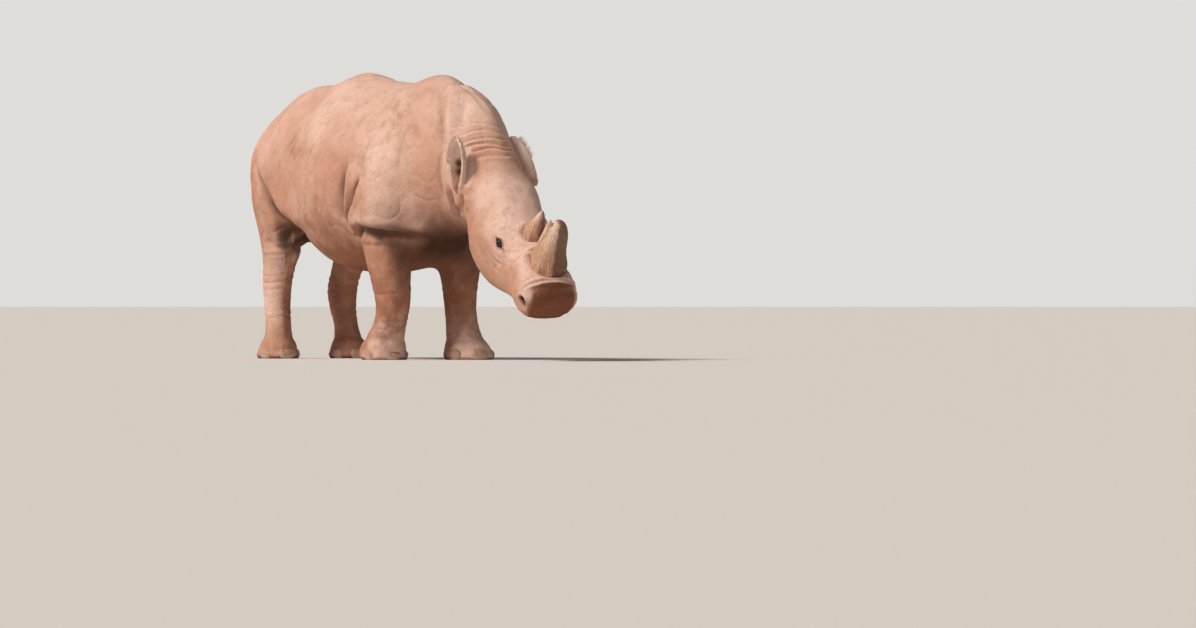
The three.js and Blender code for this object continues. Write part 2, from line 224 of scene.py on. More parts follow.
def fold(place, points, width, depth, lip=0.0, fade=0.2, spread=2.6, shelf=1.0):
    """Heights of a fold: a groove along the points, with a swollen lip to the left of it, and to
    the right skin that stays sunk for shelf times the groove's width."""
    path = curve_through(points)
    near, off, along = beside(place, path, width * (4 + spread * 3 + shelf * 2))
    ends = step(along / fade) * step((1 - along) / fade)
    uneven = 0.86 + 0.14 * np.sin(along * 15 + width * 900)
    left = off > 0
    swell = np.where(left, bell(off / (width * spread) - 1), bell(1) * bell(off / width))
    groove = bell(off / np.where(left, width, width * shelf))
    height = np.zeros(len(place))
    height[near] = ends * uneven * (lip * swell - depth * groove)
    return height


# ---------------------------------------------------------------- materials


def linear(code):
    """A linear colour from an sRGB hex code."""
    channels = [int(code[i : i + 2], 16) / 255 for i in (1, 3, 5)]
    return tuple(c / 12.92 if c <= 0.04045 else ((c + 0.055) / 1.055) ** 2.4 for c in channels)


def add_node(tree, kind, inputs=(), output=None, **settings):
    """Adds a node with its settings, its inputs linked or set, by name or in order, and returns one
    output."""
    node = tree.nodes.new("ShaderNode" + kind)
    for key, value in settings.items():
        setattr(node, key, value)
    sockets = [socket for socket in node.inputs if socket.enabled]
    if isinstance(inputs, dict):
        sockets = [next(s for s in sockets if key in (s.identifier, s.name)) for key in inputs]
        inputs = inputs.values()
    for socket, value in zip(sockets, inputs):
        if isinstance(value, bpy.types.NodeSocket):
            tree.links.new(value, socket)
        else:
            is_colour = socket.type == "RGBA" and len(value) == 3
            socket.default_value = (*value, 1) if is_colour else value
    outputs = [o for o in node.outputs if o.enabled and output in (None, o.name)]
    return outputs[0] if outputs else None


def new_material(name):
    """An empty material and its tree."""
    material = bpy.data.materials.new(name)
    material.use_nodes = True
    material.node_tree.nodes.clear()
    return material, material.node_tree


def hide_material(look, sizes):
    """Rhinoceros hide, bare and as thick as a thumb, rolled in mud that has dried to a film.

    The mud makes it dull and pinkish, palest where dust settles, and it has cracked into small plates.
    Painted light makes the ears, the forefeet and some lit bulges paler, and painted shade darkens the
    folds, openings, groin, chest and the skin between the legs.
    """
    material, tree = new_material("mud_dusted_hide")
    place = add_node(tree, "TexCoord", output="Object")
    # per vertex: pale dust and painted light, red mud, painted shade, and pale hair with painted light
    # on the ears
    pale, stain, painted_shade, down = (
        add_node(tree, "Attribute", output="Fac", attribute_name=name)
        for name in ("pale", "stain", "painted_shade", "down")
    )

    # drifts of dust 200 to 400 mm across, blotches of 40 to 80 mm and smears of 10 to 20 mm
    drift = add_node(tree, "TexNoise", {"Vector": place, "Scale": 3.2, "Detail": 4.0})
    blotch = add_node(
        tree, "TexNoise", {"Vector": place, "Scale": 15.0, "Detail": 6.0, "Roughness": 0.65}
    )
    smear = add_node(tree, "TexNoise", {"Vector": place, "Scale": 70.0, "Detail": 5.0, "Roughness": 0.6})
    # pale: dust, and painted light on the ears, the forefeet and some lit bulges
    dust_and_painted_light = add_node(tree, "Math", [drift, 1.7, pale], operation="MULTIPLY_ADD")
    dust_and_painted_light = add_node(
        tree, "MapRange", {"Value": dust_and_painted_light, "From Min": 0.65, "From Max": 1.75},
        interpolation_type="SMOOTHSTEP",
    )
    mud_and_lip_shade = add_node(tree, "Math", [blotch, 0.9, stain], operation="MULTIPLY_ADD")
    mud_and_lip_shade = add_node(
        tree, "MapRange", {"Value": mud_and_lip_shade, "From Min": 0.48, "From Max": 1.35},
        interpolation_type="SMOOTHSTEP",
    )
    worn = add_node(tree, "Math", [blotch, 1.4, smear], operation="MULTIPLY_ADD")
    worn = add_node(tree, "MapRange", {"Value": worn, "From Min": 1.12, "From Max": 1.6, "To Max": 0.34})

    # wrinkles 30 to 70 mm apart, too fine to be modelled
    wrinkles = add_node(
        tree, "TexNoise",
        {"Vector": place, "Scale": 13.0, "Detail": 5.0, "Roughness": 0.6, "Lacunarity": 2.1},
        noise_type="RIDGED_MULTIFRACTAL", normalize=True,
    )
    # plates of cracked mud, their edges bent by a few millimetres
    bend = add_node(tree, "TexNoise", {"Vector": place, "Scale": 24.0, "Detail": 2.0}, output="Color")
    bent = add_node(tree, "VectorMath", [bend, (0.03, 0.03, 0.03), place], operation="MULTIPLY_ADD")
    plates = add_node(
        tree, "TexVoronoi", {"Vector": bent, "Scale": 1 / sizes.plate_width}, feature="DISTANCE_TO_EDGE"
    )
    plates = add_node(
        tree, "MapRange", {"Value": plates, "From Max": 0.2}, interpolation_type="SMOOTHSTEP"
    )
    # the mud has worn off here and there, and its cracks with it
    kept = add_node(
        tree, "MapRange",
        {"Value": blotch, "From Min": 0.35, "From Max": 0.6, "To Min": 0.35, "To Max": 1.0},
    )
    plates = add_node(tree, "Mix", {"Factor": kept, "A": 1.0, "B": plates})
    cracks = add_node(tree, "MapRange", {"Value": plates, "To Min": 0.16, "To Max": 0.0})

    colour = look.flank_colour
    # layers: dust and painted light, mud, rubbed hide, pale ear hair with painted light, dark mud
    # cracks, and painted shade
    for amount, over in (
        (dust_and_painted_light, look.dust_colour),
        (mud_and_lip_shade, look.stain_colour),
        (worn, look.bare_colour),
        (down, look.ear_hair_colour),
        (cracks, look.shade_and_crack_colour),
        (painted_shade, look.shade_and_crack_colour),
    ):
        colour = add_node(tree, "Mix", {"Factor": amount, "A": colour, "B": over}, data_type="RGBA")
    relief = smear
    for layer, height in ((plates, 0.16), (blotch, 1.6), (wrinkles, -1.6)):
        relief = add_node(tree, "Math", [layer, height, relief], operation="MULTIPLY_ADD")
    bump = add_node(tree, "Bump", {"Height": relief, "Strength": 0.9, "Distance": sizes.hide_relief})
    shader = add_node(
        tree, "BsdfPrincipled",
        {"Base Color": colour, "Normal": bump, "Roughness": 0.86, "Specular IOR Level": 0.28},
    )
    add_node(tree, "OutputMaterial", {"Surface": shader})
    return material


def horn_material(look):
    """Rhinoceros horn: keratin fibres packed like wood grain, rubbed smooth and pale at the tip.

    The fibres run up the horn, the outer ones fray dark round its foot, and dust fills between. Its left
    side, turned from the light, is painted dark as shade, with mud caked on it.
    """
    material, tree = new_material("horn_keratin")
    own = add_node(tree, "Attribute", output="Vector", attribute_name="horn_place")
    rise = add_node(tree, "Attribute", output="Fac", attribute_name="horn_rise")
    # fibres 0.3 to 0.5 mm thick bundle into strands, drawn 5 mm apart so that they show
    stretched = add_node(tree, "Mapping", {"Vector": own, "Scale": (200.0, 200.0, 9.0)})
    fibres = add_node(
        tree, "TexNoise", {"Vector": stretched, "Scale": 1.0, "Detail": 4.0, "Roughness": 0.6}
    )
    mottle = add_node(tree, "TexNoise", {"Vector": own, "Scale": 26.0, "Detail": 4.0})
    rubbed = add_node(tree, "Math", [mottle, 0.5, rise], operation="MULTIPLY_ADD")
    rubbed = add_node(
        tree, "MapRange", {"Value": rubbed, "From Min": 0.45, "From Max": 1.2},
        interpolation_type="SMOOTHSTEP",
    )
    # the left side, turned from the light, is painted dark as shade, with mud caked on it, most of all
    # at the foot
    leftward = add_node(tree, "SeparateXYZ", {"Vector": own}, output="Y")
    caked_and_shaded = mottle
    for value, weight in ((leftward, 36.0), (rise, -0.35)):
        caked_and_shaded = add_node(tree, "Math", [value, weight, caked_and_shaded], operation="MULTIPLY_ADD")
    caked_and_shaded = add_node(
        tree, "MapRange", {"Value": caked_and_shaded, "From Min": 0.2, "From Max": 0.8, "To Max": 0.85},
        interpolation_type="SMOOTHSTEP",
    )
    gaps = add_node(
        tree, "MapRange", {"Value": fibres, "From Min": 0.6, "From Max": 0.36, "To Max": 0.4}
    )
    colour = look.horn_colour
    for amount, over in (
        (rubbed, look.horn_tip_colour),
        (caked_and_shaded, look.horn_mud_and_shade_colour),
        (gaps, look.horn_grain_colour),
    ):
        colour = add_node(tree, "Mix", {"Factor": amount, "A": colour, "B": over}, data_type="RGBA")
    relief = add_node(tree, "Math", [fibres, mottle], operation="ADD")
    bump = add_node(tree, "Bump", {"Height": relief, "Strength": 0.9, "Distance": 0.003})
    shader = add_node(
        tree, "BsdfPrincipled",
        {"Base Color": colour, "Normal": bump, "Roughness": 0.62, "IOR": 1.55},
    )
    add_node(tree, "OutputMaterial", {"Surface": shader})
    return material


def nail_material(look):
    """Toenail keratin: hard, dull and ridged across as it grows, scuffed pale at its lower edge."""
    material, tree = new_material("toenail_keratin")
    place = add_node(tree, "TexCoord", output="Object")
    height = add_node(tree, "SeparateXYZ", {"Vector": place}, output="Z")
    # growth ridges 8 mm apart
    bands = add_node(
        tree, "TexWave",
        {"Vector": place, "Scale": 38.0, "Distortion": 3.5, "Detail": 3.0}, output="Fac",
        bands_direction="Z",
    )
    scuffs = add_node(
        tree, "TexNoise", {"Vector": place, "Scale": 60.0, "Detail": 6.0, "Roughness": 0.7}
    )
    edge = add_node(tree, "Math", [scuffs, -0.05, height], operation="MULTIPLY_ADD")
    low = add_node(tree, "MapRange", {"Value": edge, "From Min": -0.02, "From Max": 0.03})
    colour = add_node(
        tree, "Mix",
        {"Factor": low, "A": look.nail_edge_colour, "B": look.nail_colour}, data_type="RGBA",
    )
    soiled = add_node(
        tree, "MapRange", {"Value": scuffs, "From Min": 0.5, "From Max": 0.7, "To Max": 0.6}
    )
    colour = add_node(
        tree, "Mix", {"Factor": soiled, "A": colour, "B": look.stain_colour}, data_type="RGBA"
    )
    relief = add_node(tree, "Math", [bands, scuffs], operation="ADD")
    bump = add_node(tree, "Bump", {"Height": relief, "Strength": 0.6, "Distance": 0.0012})
    shader = add_node(
        tree, "BsdfPrincipled",
        {"Base Color": colour, "Normal": bump, "Roughness": 0.58, "IOR": 1.55},
    )
    add_node(tree, "OutputMaterial", {"Surface": shader})
    return material


def eye_material(look):
    """A living eye: dark brown iris round a black pupil under a wet, clear and glossy cornea."""
    material, tree = new_material("wet_eye")
    out = add_node(tree, "Attribute", output="Fac", attribute_name="from_pupil")
    spokes = add_node(
        tree, "TexNoise",
        {"Vector": add_node(tree, "TexCoord", output="Object"), "Scale": 600.0, "Detail": 3.0},
    )
    ragged = add_node(tree, "Math", [spokes, 0.06, out], operation="MULTIPLY_ADD")
    iris = add_node(tree, "MapRange", {"Value": ragged, "From Min": 0.30, "From Max": 0.40})
    white = add_node(tree, "MapRange", {"Value": ragged, "From Min": 0.86, "From Max": 1.0})
    colour = add_node(
        tree, "Mix", {"Factor": iris, "A": (0.002, 0.0015, 0.001), "B": look.iris_colour},
        data_type="RGBA",
    )
    colour = add_node(
        tree, "Mix", {"Factor": white, "A": colour, "B": look.eye_white_colour}, data_type="RGBA"
    )
    shader = add_node(tree, "BsdfPrincipled", {"Base Color": colour, "Roughness": 0.06, "IOR": 1.376})
    add_node(tree, "OutputMaterial", {"Surface": shader})
    return material


def bristle_material(name, colour, dust_colour):
    """Coarse hair: wiry and slightly glossy, with dust on it."""
    material, tree = new_material(name)
    place = add_node(tree, "TexCoord", output="Object")
    dusty = add_node(tree, "TexNoise", {"Vector": place, "Scale": 90.0, "Detail": 3.0})
    amount = add_node(tree, "MapRange", {"Value": dusty, "From Min": 0.4, "From Max": 0.65})
    colour = add_node(tree, "Mix", {"Factor": amount, "A": colour, "B": dust_colour}, data_type="RGBA")
    shader = add_node(tree, "BsdfPrincipled", {"Base Color": colour, "Roughness": 0.5, "IOR": 1.55})
    add_node(tree, "OutputMaterial", {"Surface": shader})
    return material


# ---------------------------------------------------------------- pieces


def placed(name, data):
    """A new object of the scene that shows this data."""
    thing = bpy.data.objects.new(name, data)
    bpy.context.scene.collection.objects.link(thing)
    return thing


def add_object(name, mesh, nodes=(), material=None):
    """Puts a finished mesh in the scene as a piece of the animal."""
    piece = placed(name, mesh)
    if material:
        mesh.materials.clear()
        mesh.materials.append(material)
    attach(piece, "root")
    if nodes:
        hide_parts(*nodes)
    return piece


def mesh_of(bm, name):
    """The mesh that this building mesh stands for, which is then let go."""
    mesh = bpy.data.meshes.new(name)
    bm.to_mesh(mesh)
    bm.free()
    return mesh


def merged_copy(names):
    """One mesh holding closed copies of the named parts."""
    bm = bmesh.new()
    for name in names:
        bm.from_mesh(FRAME["nodes"][name].data)
    bmesh.ops.remove_doubles(bm, verts=bm.verts, dist=1e-6)
    return mesh_of(bm, "flesh")


def with_modifier(mesh, kind, **settings):
    """The mesh that a modifier makes of this one."""
    holder = placed("holder", mesh)
    modifier = holder.modifiers.new(kind.lower(), kind)
    for key, value in settings.items():
        setattr(modifier, key, value)
    depsgraph = bpy.context.evaluated_depsgraph_get()
    made = bpy.data.meshes.new_from_object(holder.evaluated_get(depsgraph))
    bpy.data.objects.remove(holder)
    bpy.data.meshes.remove(mesh)
    return made


def remeshed(mesh, size):
    """One closed surface round the mesh, with even facets."""
    return with_modifier(mesh, "REMESH", mode="VOXEL", voxel_size=size, adaptivity=0.0)


def thinned(mesh, triangles):
    """The mesh with no more than this many triangles."""
    count = sum(len(polygon.vertices) - 2 for polygon in mesh.polygons)
    if count <= triangles:
        return mesh
    return with_modifier(mesh, "DECIMATE", ratio=triangles / count)


def smooth_shaded(mesh):
    """Shades the mesh as one smooth surface."""
    mesh.polygons.foreach_set("use_smooth", np.ones(len(mesh.polygons), bool))


def add_attribute(mesh, name, values):
    """Stores one number, or one vector, for each vertex."""
    kind, field = ("FLOAT_VECTOR", "vector") if values.ndim == 2 else ("FLOAT", "value")
    attribute = mesh.attributes.new(name, kind, "POINT")
    attribute.data.foreach_set(field, values.astype(np.float32).ravel())


def joined(*meshes):
    """One mesh that takes the place of several."""
    bm = bmesh.new()
    for mesh in meshes:
        bm.from_mesh(mesh)
        bpy.data.meshes.remove(mesh)
    return mesh_of(bm, "flesh")


# ---------------------------------------------------------------- skin

# Facets of the first rough skin, of the finished one, and of the small hard parts, in metres.
COARSE = 0.013
FINE = 0.005
FINEST = 0.0032
SKIN_TRIANGLES = 192_000
# The tail's lowest share, which its tuft of bristles covers.
TUFT_SHARE = 0.30


def flesh_core():
    """The solid body without ears and tail, its facets smoothed away."""
    body = [name for name in FLESH if name not in THIN_FLESH]
    mesh = remeshed(merged_copy(body), COARSE)
    # the feet and the muzzle keep more of their shape
    co = read(mesh)
    feet = 1 - 0.75 * step((0.16 - co[:, 2]) / 0.1)
    head = head_places(co)
    muzzle = 1 - 0.6 * step((head[:, 0] - 0.7) / 0.15)
    relax(mesh, 34, feet * muzzle)
    return mesh


# Which way each ear points and which way it opens.
EARS = {
    "right": {"lean": (0.22, -0.18, 1.0), "mouth": (0.6, -0.8, 0.0)},
    "left": {"lean": (-0.5, 0.04, 0.85), "mouth": (0.1, 1.0, 0.0)},
}


def ear_axes(name):
    """Axes of an ear: up it, out of its opening and across it."""
    up = unit(np.array(EARS[name]["lean"]))
    mouth = np.array(EARS[name]["mouth"])
    mouth = unit(mouth - up * (mouth @ up))
    return np.array([up, mouth, np.cross(mouth, up)])


def ear_places(co, name):
    """Each point's place on an ear: up it, out of its opening and across it, in metres."""
    return (co - np.array(middle(f"ear_{name}"))) @ ear_axes(name).T


def close_ear_tip(co, name):
    """Draws the end of an ear together into a rounded point near its back wall."""
    tip, back_wall = 0.085, -0.02
    own = ear_places(co, name)
    near = (np.hypot(own[:, 1], own[:, 2]) < 0.09) & (np.abs(own[:, 0]) < 0.3)
    top = own[near, 0].max()
    t = np.clip((own[:, 0] - top + tip) / tip, 0, 1) * near
    keep = np.sqrt(1 - 0.97 * t**2.4)
    own[:, 1] = back_wall + (own[:, 1] - back_wall) * keep
    own[:, 2] *= keep
    moved = own @ ear_axes(name) + np.array(middle(f"ear_{name}"))
    return np.where(near[:, None], moved, co)


def thin_flesh():
    """Ears and tail, their facets smoothed by subdivision."""
    mesh = merged_copy(THIN_FLESH)
    bm = bmesh.new()
    bm.from_mesh(mesh)
    bmesh.ops.join_triangles(
        bm, faces=bm.faces, angle_face_threshold=math.pi, angle_shape_threshold=math.pi
    )
    bm.to_mesh(mesh)
    bm.free()
    mesh = with_modifier(mesh, "SUBSURF", levels=2, render_levels=2)
    # the tail's own flesh ends where its tuft of bristles begins
    low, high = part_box("tail")
    co = read(mesh)
    tuft = low.z + TUFT_SHARE * (high.z - low.z)
    hanging = (co[:, 0] < TRUNK_LOW.x + 0.05) & (co[:, 2] < tuft)
    co[:, 2] += 0.5 * (tuft - co[:, 2]) * hanging
    for name in SIDES:
        co = close_ear_tip(co, name)
    write(mesh, co)
    return mesh


# Folds of the body, seen from the side as flank(along, up) places. Each runs so that the skin that
# swells over it lies to its left.
BODY_FOLDS = {
    "thigh": dict(
        points=[
            (0.158, 0.86), (0.152, 0.79), (0.175, 0.72), (0.213, 0.655), (0.238, 0.59),
            (0.262, 0.532), (0.295, 0.49), (0.345, 0.455), (0.41, 0.425),
        ],
        width=0.018, depth=0.024, lip=0.024, spread=2.6, shelf=2.8, fade=0.1,
    ),
    "knee": dict(
        points=[(0.30, 0.40), (0.265, 0.385), (0.225, 0.39), (0.18, 0.42)],
        width=0.016, depth=0.010, lip=0.010, spread=2.4,
    ),
    "elbow": dict(
        points=[
            (0.745, 0.640), (0.737, 0.606), (0.712, 0.562), (0.690, 0.529), (0.680, 0.503),
            (0.679, 0.478), (0.681, 0.455), (0.676, 0.430),
        ],
        width=0.011, depth=0.026, lip=0.013, spread=3.0, shelf=2.2, fade=0.16,
    ),
    "behind_elbow": dict(
        points=[
            (0.676, 0.72), (0.673, 0.66), (0.668, 0.61), (0.660, 0.565), (0.656, 0.52), (0.664, 0.465),
        ],
        width=0.022, depth=0.021, lip=0.010, spread=1.6, shelf=1.6, fade=0.3,
    ),
    "foreleg_top": dict(
        points=[
            (0.676, 0.405), (0.690, 0.432), (0.735, 0.452), (0.79, 0.452), (0.825, 0.444),
            (0.86, 0.428), (0.90, 0.418), (0.96, 0.412),
        ],
        width=0.014, depth=0.030, lip=0.020, spread=2.8, shelf=3.6, fade=0.22,
    ),
    "foreleg_second": dict(
        points=[(0.70, 0.385), (0.75, 0.398), (0.80, 0.395), (0.85, 0.38)],
        width=0.012, depth=0.006, lip=0.006, spread=2.2, fade=0.35,
    ),
    "neck": dict(
        points=[
            (0.91, 0.97), (0.945, 0.92), (0.996, 0.851), (1.026, 0.76), (1.036, 0.67), (1.03, 0.58),
            (1.008, 0.5),
        ],
        width=0.017, depth=0.018, lip=0.030, spread=2.2, shelf=2.2, fade=0.18,
    ),
    "neck_second": dict(
        points=[(1.0, 0.93), (1.045, 0.86), (1.08, 0.78), (1.095, 0.71)],
        width=0.014, depth=0.007, lip=0.008, spread=2.2, fade=0.35,
    ),
    "throat": dict(
        points=[(1.062, 0.60), (1.07, 0.55), (1.064, 0.5), (1.04, 0.455)],
        width=0.010, depth=0.020, lip=0.012, spread=2.2, shelf=2.0,
    ),
}


def body_folds(co, out):
    """Heights of the big folds of both flanks, their lines a little uneven."""
    x, z = co[:, 0], co[:, 2]
    wander = np.stack([np.sin(23 * z + 9 * x), np.sin(19 * x - 11 * z)], 1)
    place = co[:, [0, 2]] + 0.006 * wander
    facing = step((np.abs(out[:, 1]) - 0.08) / 0.25)
    height = np.zeros(len(co))
    for shape in BODY_FOLDS.values():
        points = [flank(*point) for point in shape["points"]]
        height += fold(place, **{**shape, "points": points})
    return height * facing


def rib_wrinkles(co, out, depth):
    """Uneven slanting wrinkles between hip and ribs, and soft upright folds under them."""
    place = co[:, [0, 2]]
    facing = step((np.abs(out[:, 1]) - 0.05) / 0.2)
    height = np.zeros(len(co))
    rng = np.random.default_rng(12)
    for i in range(9):
        along = 0.288 + 0.025 * i + rng.uniform(-0.006, 0.006)
        lean = 0.090 - 0.006 * i + rng.uniform(-0.012, 0.012)
        up = 0.745 - 0.003 * i + rng.uniform(-0.010, 0.010)
        reach = rng.uniform(0.045, 0.085)
        bow = rng.uniform(-0.006, 0.006)
        points = [
            flank(along, up - reach),
            flank(along + lean / 2 + bow, up),
            flank(along + lean, up + reach),
        ]
        strength = rng.uniform(0.5, 1.0) * (1 - 0.05 * i) * step((i + 1) / 2.6)
        height += strength * fold(place, points, 0.0095, depth, 0.5 * depth, fade=0.45, spread=1.4)
    # broader, softer ones hang below them
    for i in range(4):
        along = 0.455 + 0.045 * i + rng.uniform(-0.008, 0.008)
        points = [flank(along, 0.50), flank(along + 0.008, 0.60), flank(along, 0.68)]
        height += fold(place, points, 0.020, 0.5 * depth, 0.35 * depth, fade=0.45, spread=1.6)
    return height * facing


# Swellings and hollows of the body, seen from the side: flank place, reach in metres along and
# up, and height in metres.
BODY_LUMPS = {
    "shoulder_blade": ((0.815, 0.74), (0.10, 0.24), 0.016),
    "before_blade": ((0.925, 0.72), (0.06, 0.2), -0.010),
    "behind_blade": ((0.67, 0.68), (0.09, 0.22), -0.014),
    "upper_arm": ((0.79, 0.52), (0.13, 0.08), 0.016),
    "hip_ridge": ((0.245, 0.70), (0.035, 0.16), 0.008),
    "hip_point": ((0.265, 0.83), (0.08, 0.07), 0.018),
    "thigh_front": ((0.225, 0.66), (0.07, 0.16), 0.016),
    "flank_hollow": ((0.36, 0.66), (0.11, 0.18), -0.018),
    "rump": ((0.10, 0.72), (0.10, 0.16), 0.010),
    "behind_thigh": ((0.04, 0.56), (0.06, 0.14), -0.010),
    "ribs": ((0.52, 0.56), (0.24, 0.2), 0.012),
    "loin": ((0.42, 0.88), (0.16, 0.06), -0.008),
    "groin": ((0.305, 0.428), (0.10, 0.085), -0.060),
    "thigh_edge": ((0.235, 0.43), (0.03, 0.10), 0.014),
    "between_forelegs": ((0.935, 0.34), (0.07, 0.05), -0.040),
    "buttock": ((0.0, 0.62), (0.07, 0.2), -0.012),
}


def body_lumps(co, out):
    """Heights of the body's swellings and hollows, and of the ridge of the spine."""
    height = np.zeros(len(co))
    for place, (reach_along, reach_up), rise in BODY_LUMPS.values():
        x, z = flank(*place)
        height += rise * bell(np.hypot((co[:, 0] - x) / reach_along, (co[:, 2] - z) / reach_up))
    flat = step(np.abs(out[:, 1]) / 0.5)
    spine = 0.010 * bell((co[:, 0] - flank(0.50, 0)[0]) / 0.13) * step((out[:, 2] - 0.6) / 0.3)
    return height * flat + spine


# Swellings and hollows of the head: along, to either side and above in head lengths, then the
# reach and the height in metres.
HEAD_LUMPS = {
    "brow": (0.46, 0.165, 0.12, 0.055, 0.013),
    "cheekbone": (0.40, 0.2, -0.02, 0.085, 0.010),
    "jaw_muscle": (0.30, 0.19, -0.18, 0.12, 0.012),
    "below_eye": (0.56, 0.16, -0.03, 0.05, -0.006),
    "before_eye": (0.60, 0.14, 0.07, 0.06, -0.009),
    "temple": (0.30, 0.18, 0.10, 0.08, -0.013),
    "nostril_wing": (0.885, 0.15, 0.055, 0.045, 0.010),
    "nose_side": (0.74, 0.13, 0.02, 0.06, -0.010),
    "lip_corner": (0.83, 0.15, -0.11, 0.045, 0.006),
    "lip_square": (0.965, 0.115, 0.02, 0.055, 0.010),
    "ear_base": (0.0, 0.2, 0.02, 0.07, 0.008),
}


def head_lumps(co):
    """Heights of the head's swellings and hollows."""
    height = np.zeros(len(co))
    for along, aside, above, reach, rise in HEAD_LUMPS.values():
        for side in SIDES.values():
            away = np.linalg.norm(co - on_head(along, side * aside, above), axis=1)
            height += rise * bell(away / reach)
    return height


# Creases on each side of the face, as points along and above in head lengths, with the width and
# depth in metres.
FACE_CREASES = [
    ([(0.455, 0.0), (0.49, -0.022), (0.54, -0.026), (0.585, -0.01)], 0.0045, 0.006),
    ([(0.445, -0.03), (0.49, -0.055), (0.55, -0.055), (0.6, -0.035)], 0.0055, 0.009),
    ([(0.44, -0.075), (0.5, -0.098), (0.57, -0.095), (0.62, -0.068)], 0.006, 0.008),
    ([(0.42, 0.09), (0.455, 0.112), (0.51, 0.116), (0.56, 0.098)], 0.005, 0.006),
    ([(0.385, 0.04), (0.40, 0.09), (0.44, 0.135), (0.5, 0.145)], 0.006, 0.005),
    ([(0.57, 0.045), (0.61, 0.075), (0.635, 0.115)], 0.006, 0.004),
    ([(0.60, 0.01), (0.65, 0.035), (0.675, 0.08)], 0.006, 0.004),
    ([(0.79, 0.05), (0.80, -0.01), (0.825, -0.06), (0.85, -0.1)], 0.006, 0.006),
    ([(0.735, 0.05), (0.745, -0.02), (0.775, -0.08), (0.80, -0.13)], 0.007, 0.005),
    ([(0.68, 0.0), (0.695, -0.06), (0.73, -0.12)], 0.008, 0.004),
    ([(0.13, 0.03), (0.19, -0.03), (0.225, -0.11), (0.22, -0.19), (0.19, -0.25)], 0.012, 0.008),
    ([(-0.065, -0.04), (-0.035, -0.095), (0.0, -0.14), (0.03, -0.2)], 0.016, 0.030),
    ([(0.025, 0.01), (0.045, -0.035), (0.06, -0.085)], 0.012, 0.022),
    ([(-0.06, -0.02), (-0.035, -0.08), (-0.03, -0.15)], 0.010, 0.008),
]
MOUTH_CORNER = 0.845


def mouth_level(along):
    """How far above the head's axis the lips meet, in head lengths."""
    return -0.104 + 0.03 * step((along - 0.88) / 0.1)


def head_folds(co):
    """The mouth line, the creases of the face and the wrinkles over the nose."""
    head = head_places(co)
    height = np.zeros(len(co))
    on_lips = step((head[:, 0] - MOUTH_CORNER) / 0.02)
    away = (head[:, 2] - mouth_level(head[:, 0])) * HEAD_LENGTH
    height += on_lips * (-0.016 * bell(away / 0.005) + 0.005 * bell((np.abs(away) - 0.016) / 0.010))
    place = head[:, [0, 2]] * HEAD_LENGTH
    for side in SIDES.values():
        near = step((side * head[:, 1] - 0.05) / 0.05)
        for points, width, depth in FACE_CREASES:
            path = [np.array(point) * HEAD_LENGTH for point in points]
            height += near * fold(place, path, width, depth, depth * 0.6, fade=0.35)
    # short wrinkles over the bridge of the nose between the horns, and above the lip
    over = step((head[:, 2] - 0.04) / 0.05)
    for along, rise in ((0.66, 0.004), (0.69, 0.004), (0.885, 0.004), (0.915, 0.004)):
        bowed = (head[:, 0] - along + 0.6 * head[:, 1] ** 2) * HEAD_LENGTH
        height += over * rise * (bell((bowed - 0.012) / 0.009) - bell(bowed / 0.006))
    # upright wrinkles across the broad front of the upper lip
    lip = step((head[:, 0] - 0.93) / 0.03) * step((0.09 - np.abs(head[:, 2] - 0.02)) / 0.04)
    height += 0.0008 * lip * np.sin(2 * np.pi * head[:, 1] / 0.045 + 9 * head[:, 2])
    return height


def nape_folds(co):
    """Folds across the back of the neck, behind the crest of the skull."""
    head = head_places(co)
    across = step((head[:, 2] - 0.02) / 0.08) * step((0.25 - np.abs(head[:, 1])) / 0.12)
    for name in SIDES:
        across *= 1 - on_ear(co, name)
    height = np.zeros(len(co))
    for i, along in enumerate((-0.012, -0.050, -0.086, -0.125, -0.168, -0.22)):
        bow = 0.55 * np.sqrt(head[:, 1] ** 2 + 0.03**2) - 0.0165
        wavy = head[:, 0] - along + bow + 0.005 * np.sin(17 * head[:, 1] + 2.3 * i)
        rise = (0.0035, 0.0055, 0.0060, 0.0065, 0.0045, 0.003)[i]
        height += rise * (bell((wavy - 0.017) / 0.011) - 1.3 * bell(wavy / 0.0058))
    return height * across


def side_axes(side, ahead, up):
    """Axes of a place on the side of the head: towards the nose, up, and out of the head, which
    also leans ahead and up by these shares."""
    out = unit(side * HEAD_LEFT + ahead * HEAD_AHEAD + up * HEAD_UP)
    forward = unit(HEAD_AHEAD - out * (HEAD_AHEAD @ out))
    return np.array([forward, -side * np.cross(out, forward), out])


def eye_axes(side):
    """Axes of an eye: towards the nose, up, and out of the head."""
    return side_axes(side, 0.24, 0.2)


# Stands for how far a place is that is nowhere near an eye or a nostril.
FAR = 99.0
LID_HALF_WIDTH, LID_HALF_HEIGHT, LID_THICKNESS = 0.0225, 0.0145, 0.0050
EYE_SLANT = 0.2


def lens_size(a, b):
    """How far from an eye's middle a place is, 1 at the lids' edge. The ends are pointed."""
    along = a * math.cos(EYE_SLANT) - b * math.sin(EYE_SLANT)
    rise = a * math.sin(EYE_SLANT) + b * math.cos(EYE_SLANT)
    narrow = np.clip(1 - (along / 0.036) ** 2, 0.35, 1)
    return np.hypot(along / LID_HALF_WIDTH, rise / (LID_HALF_HEIGHT * narrow))


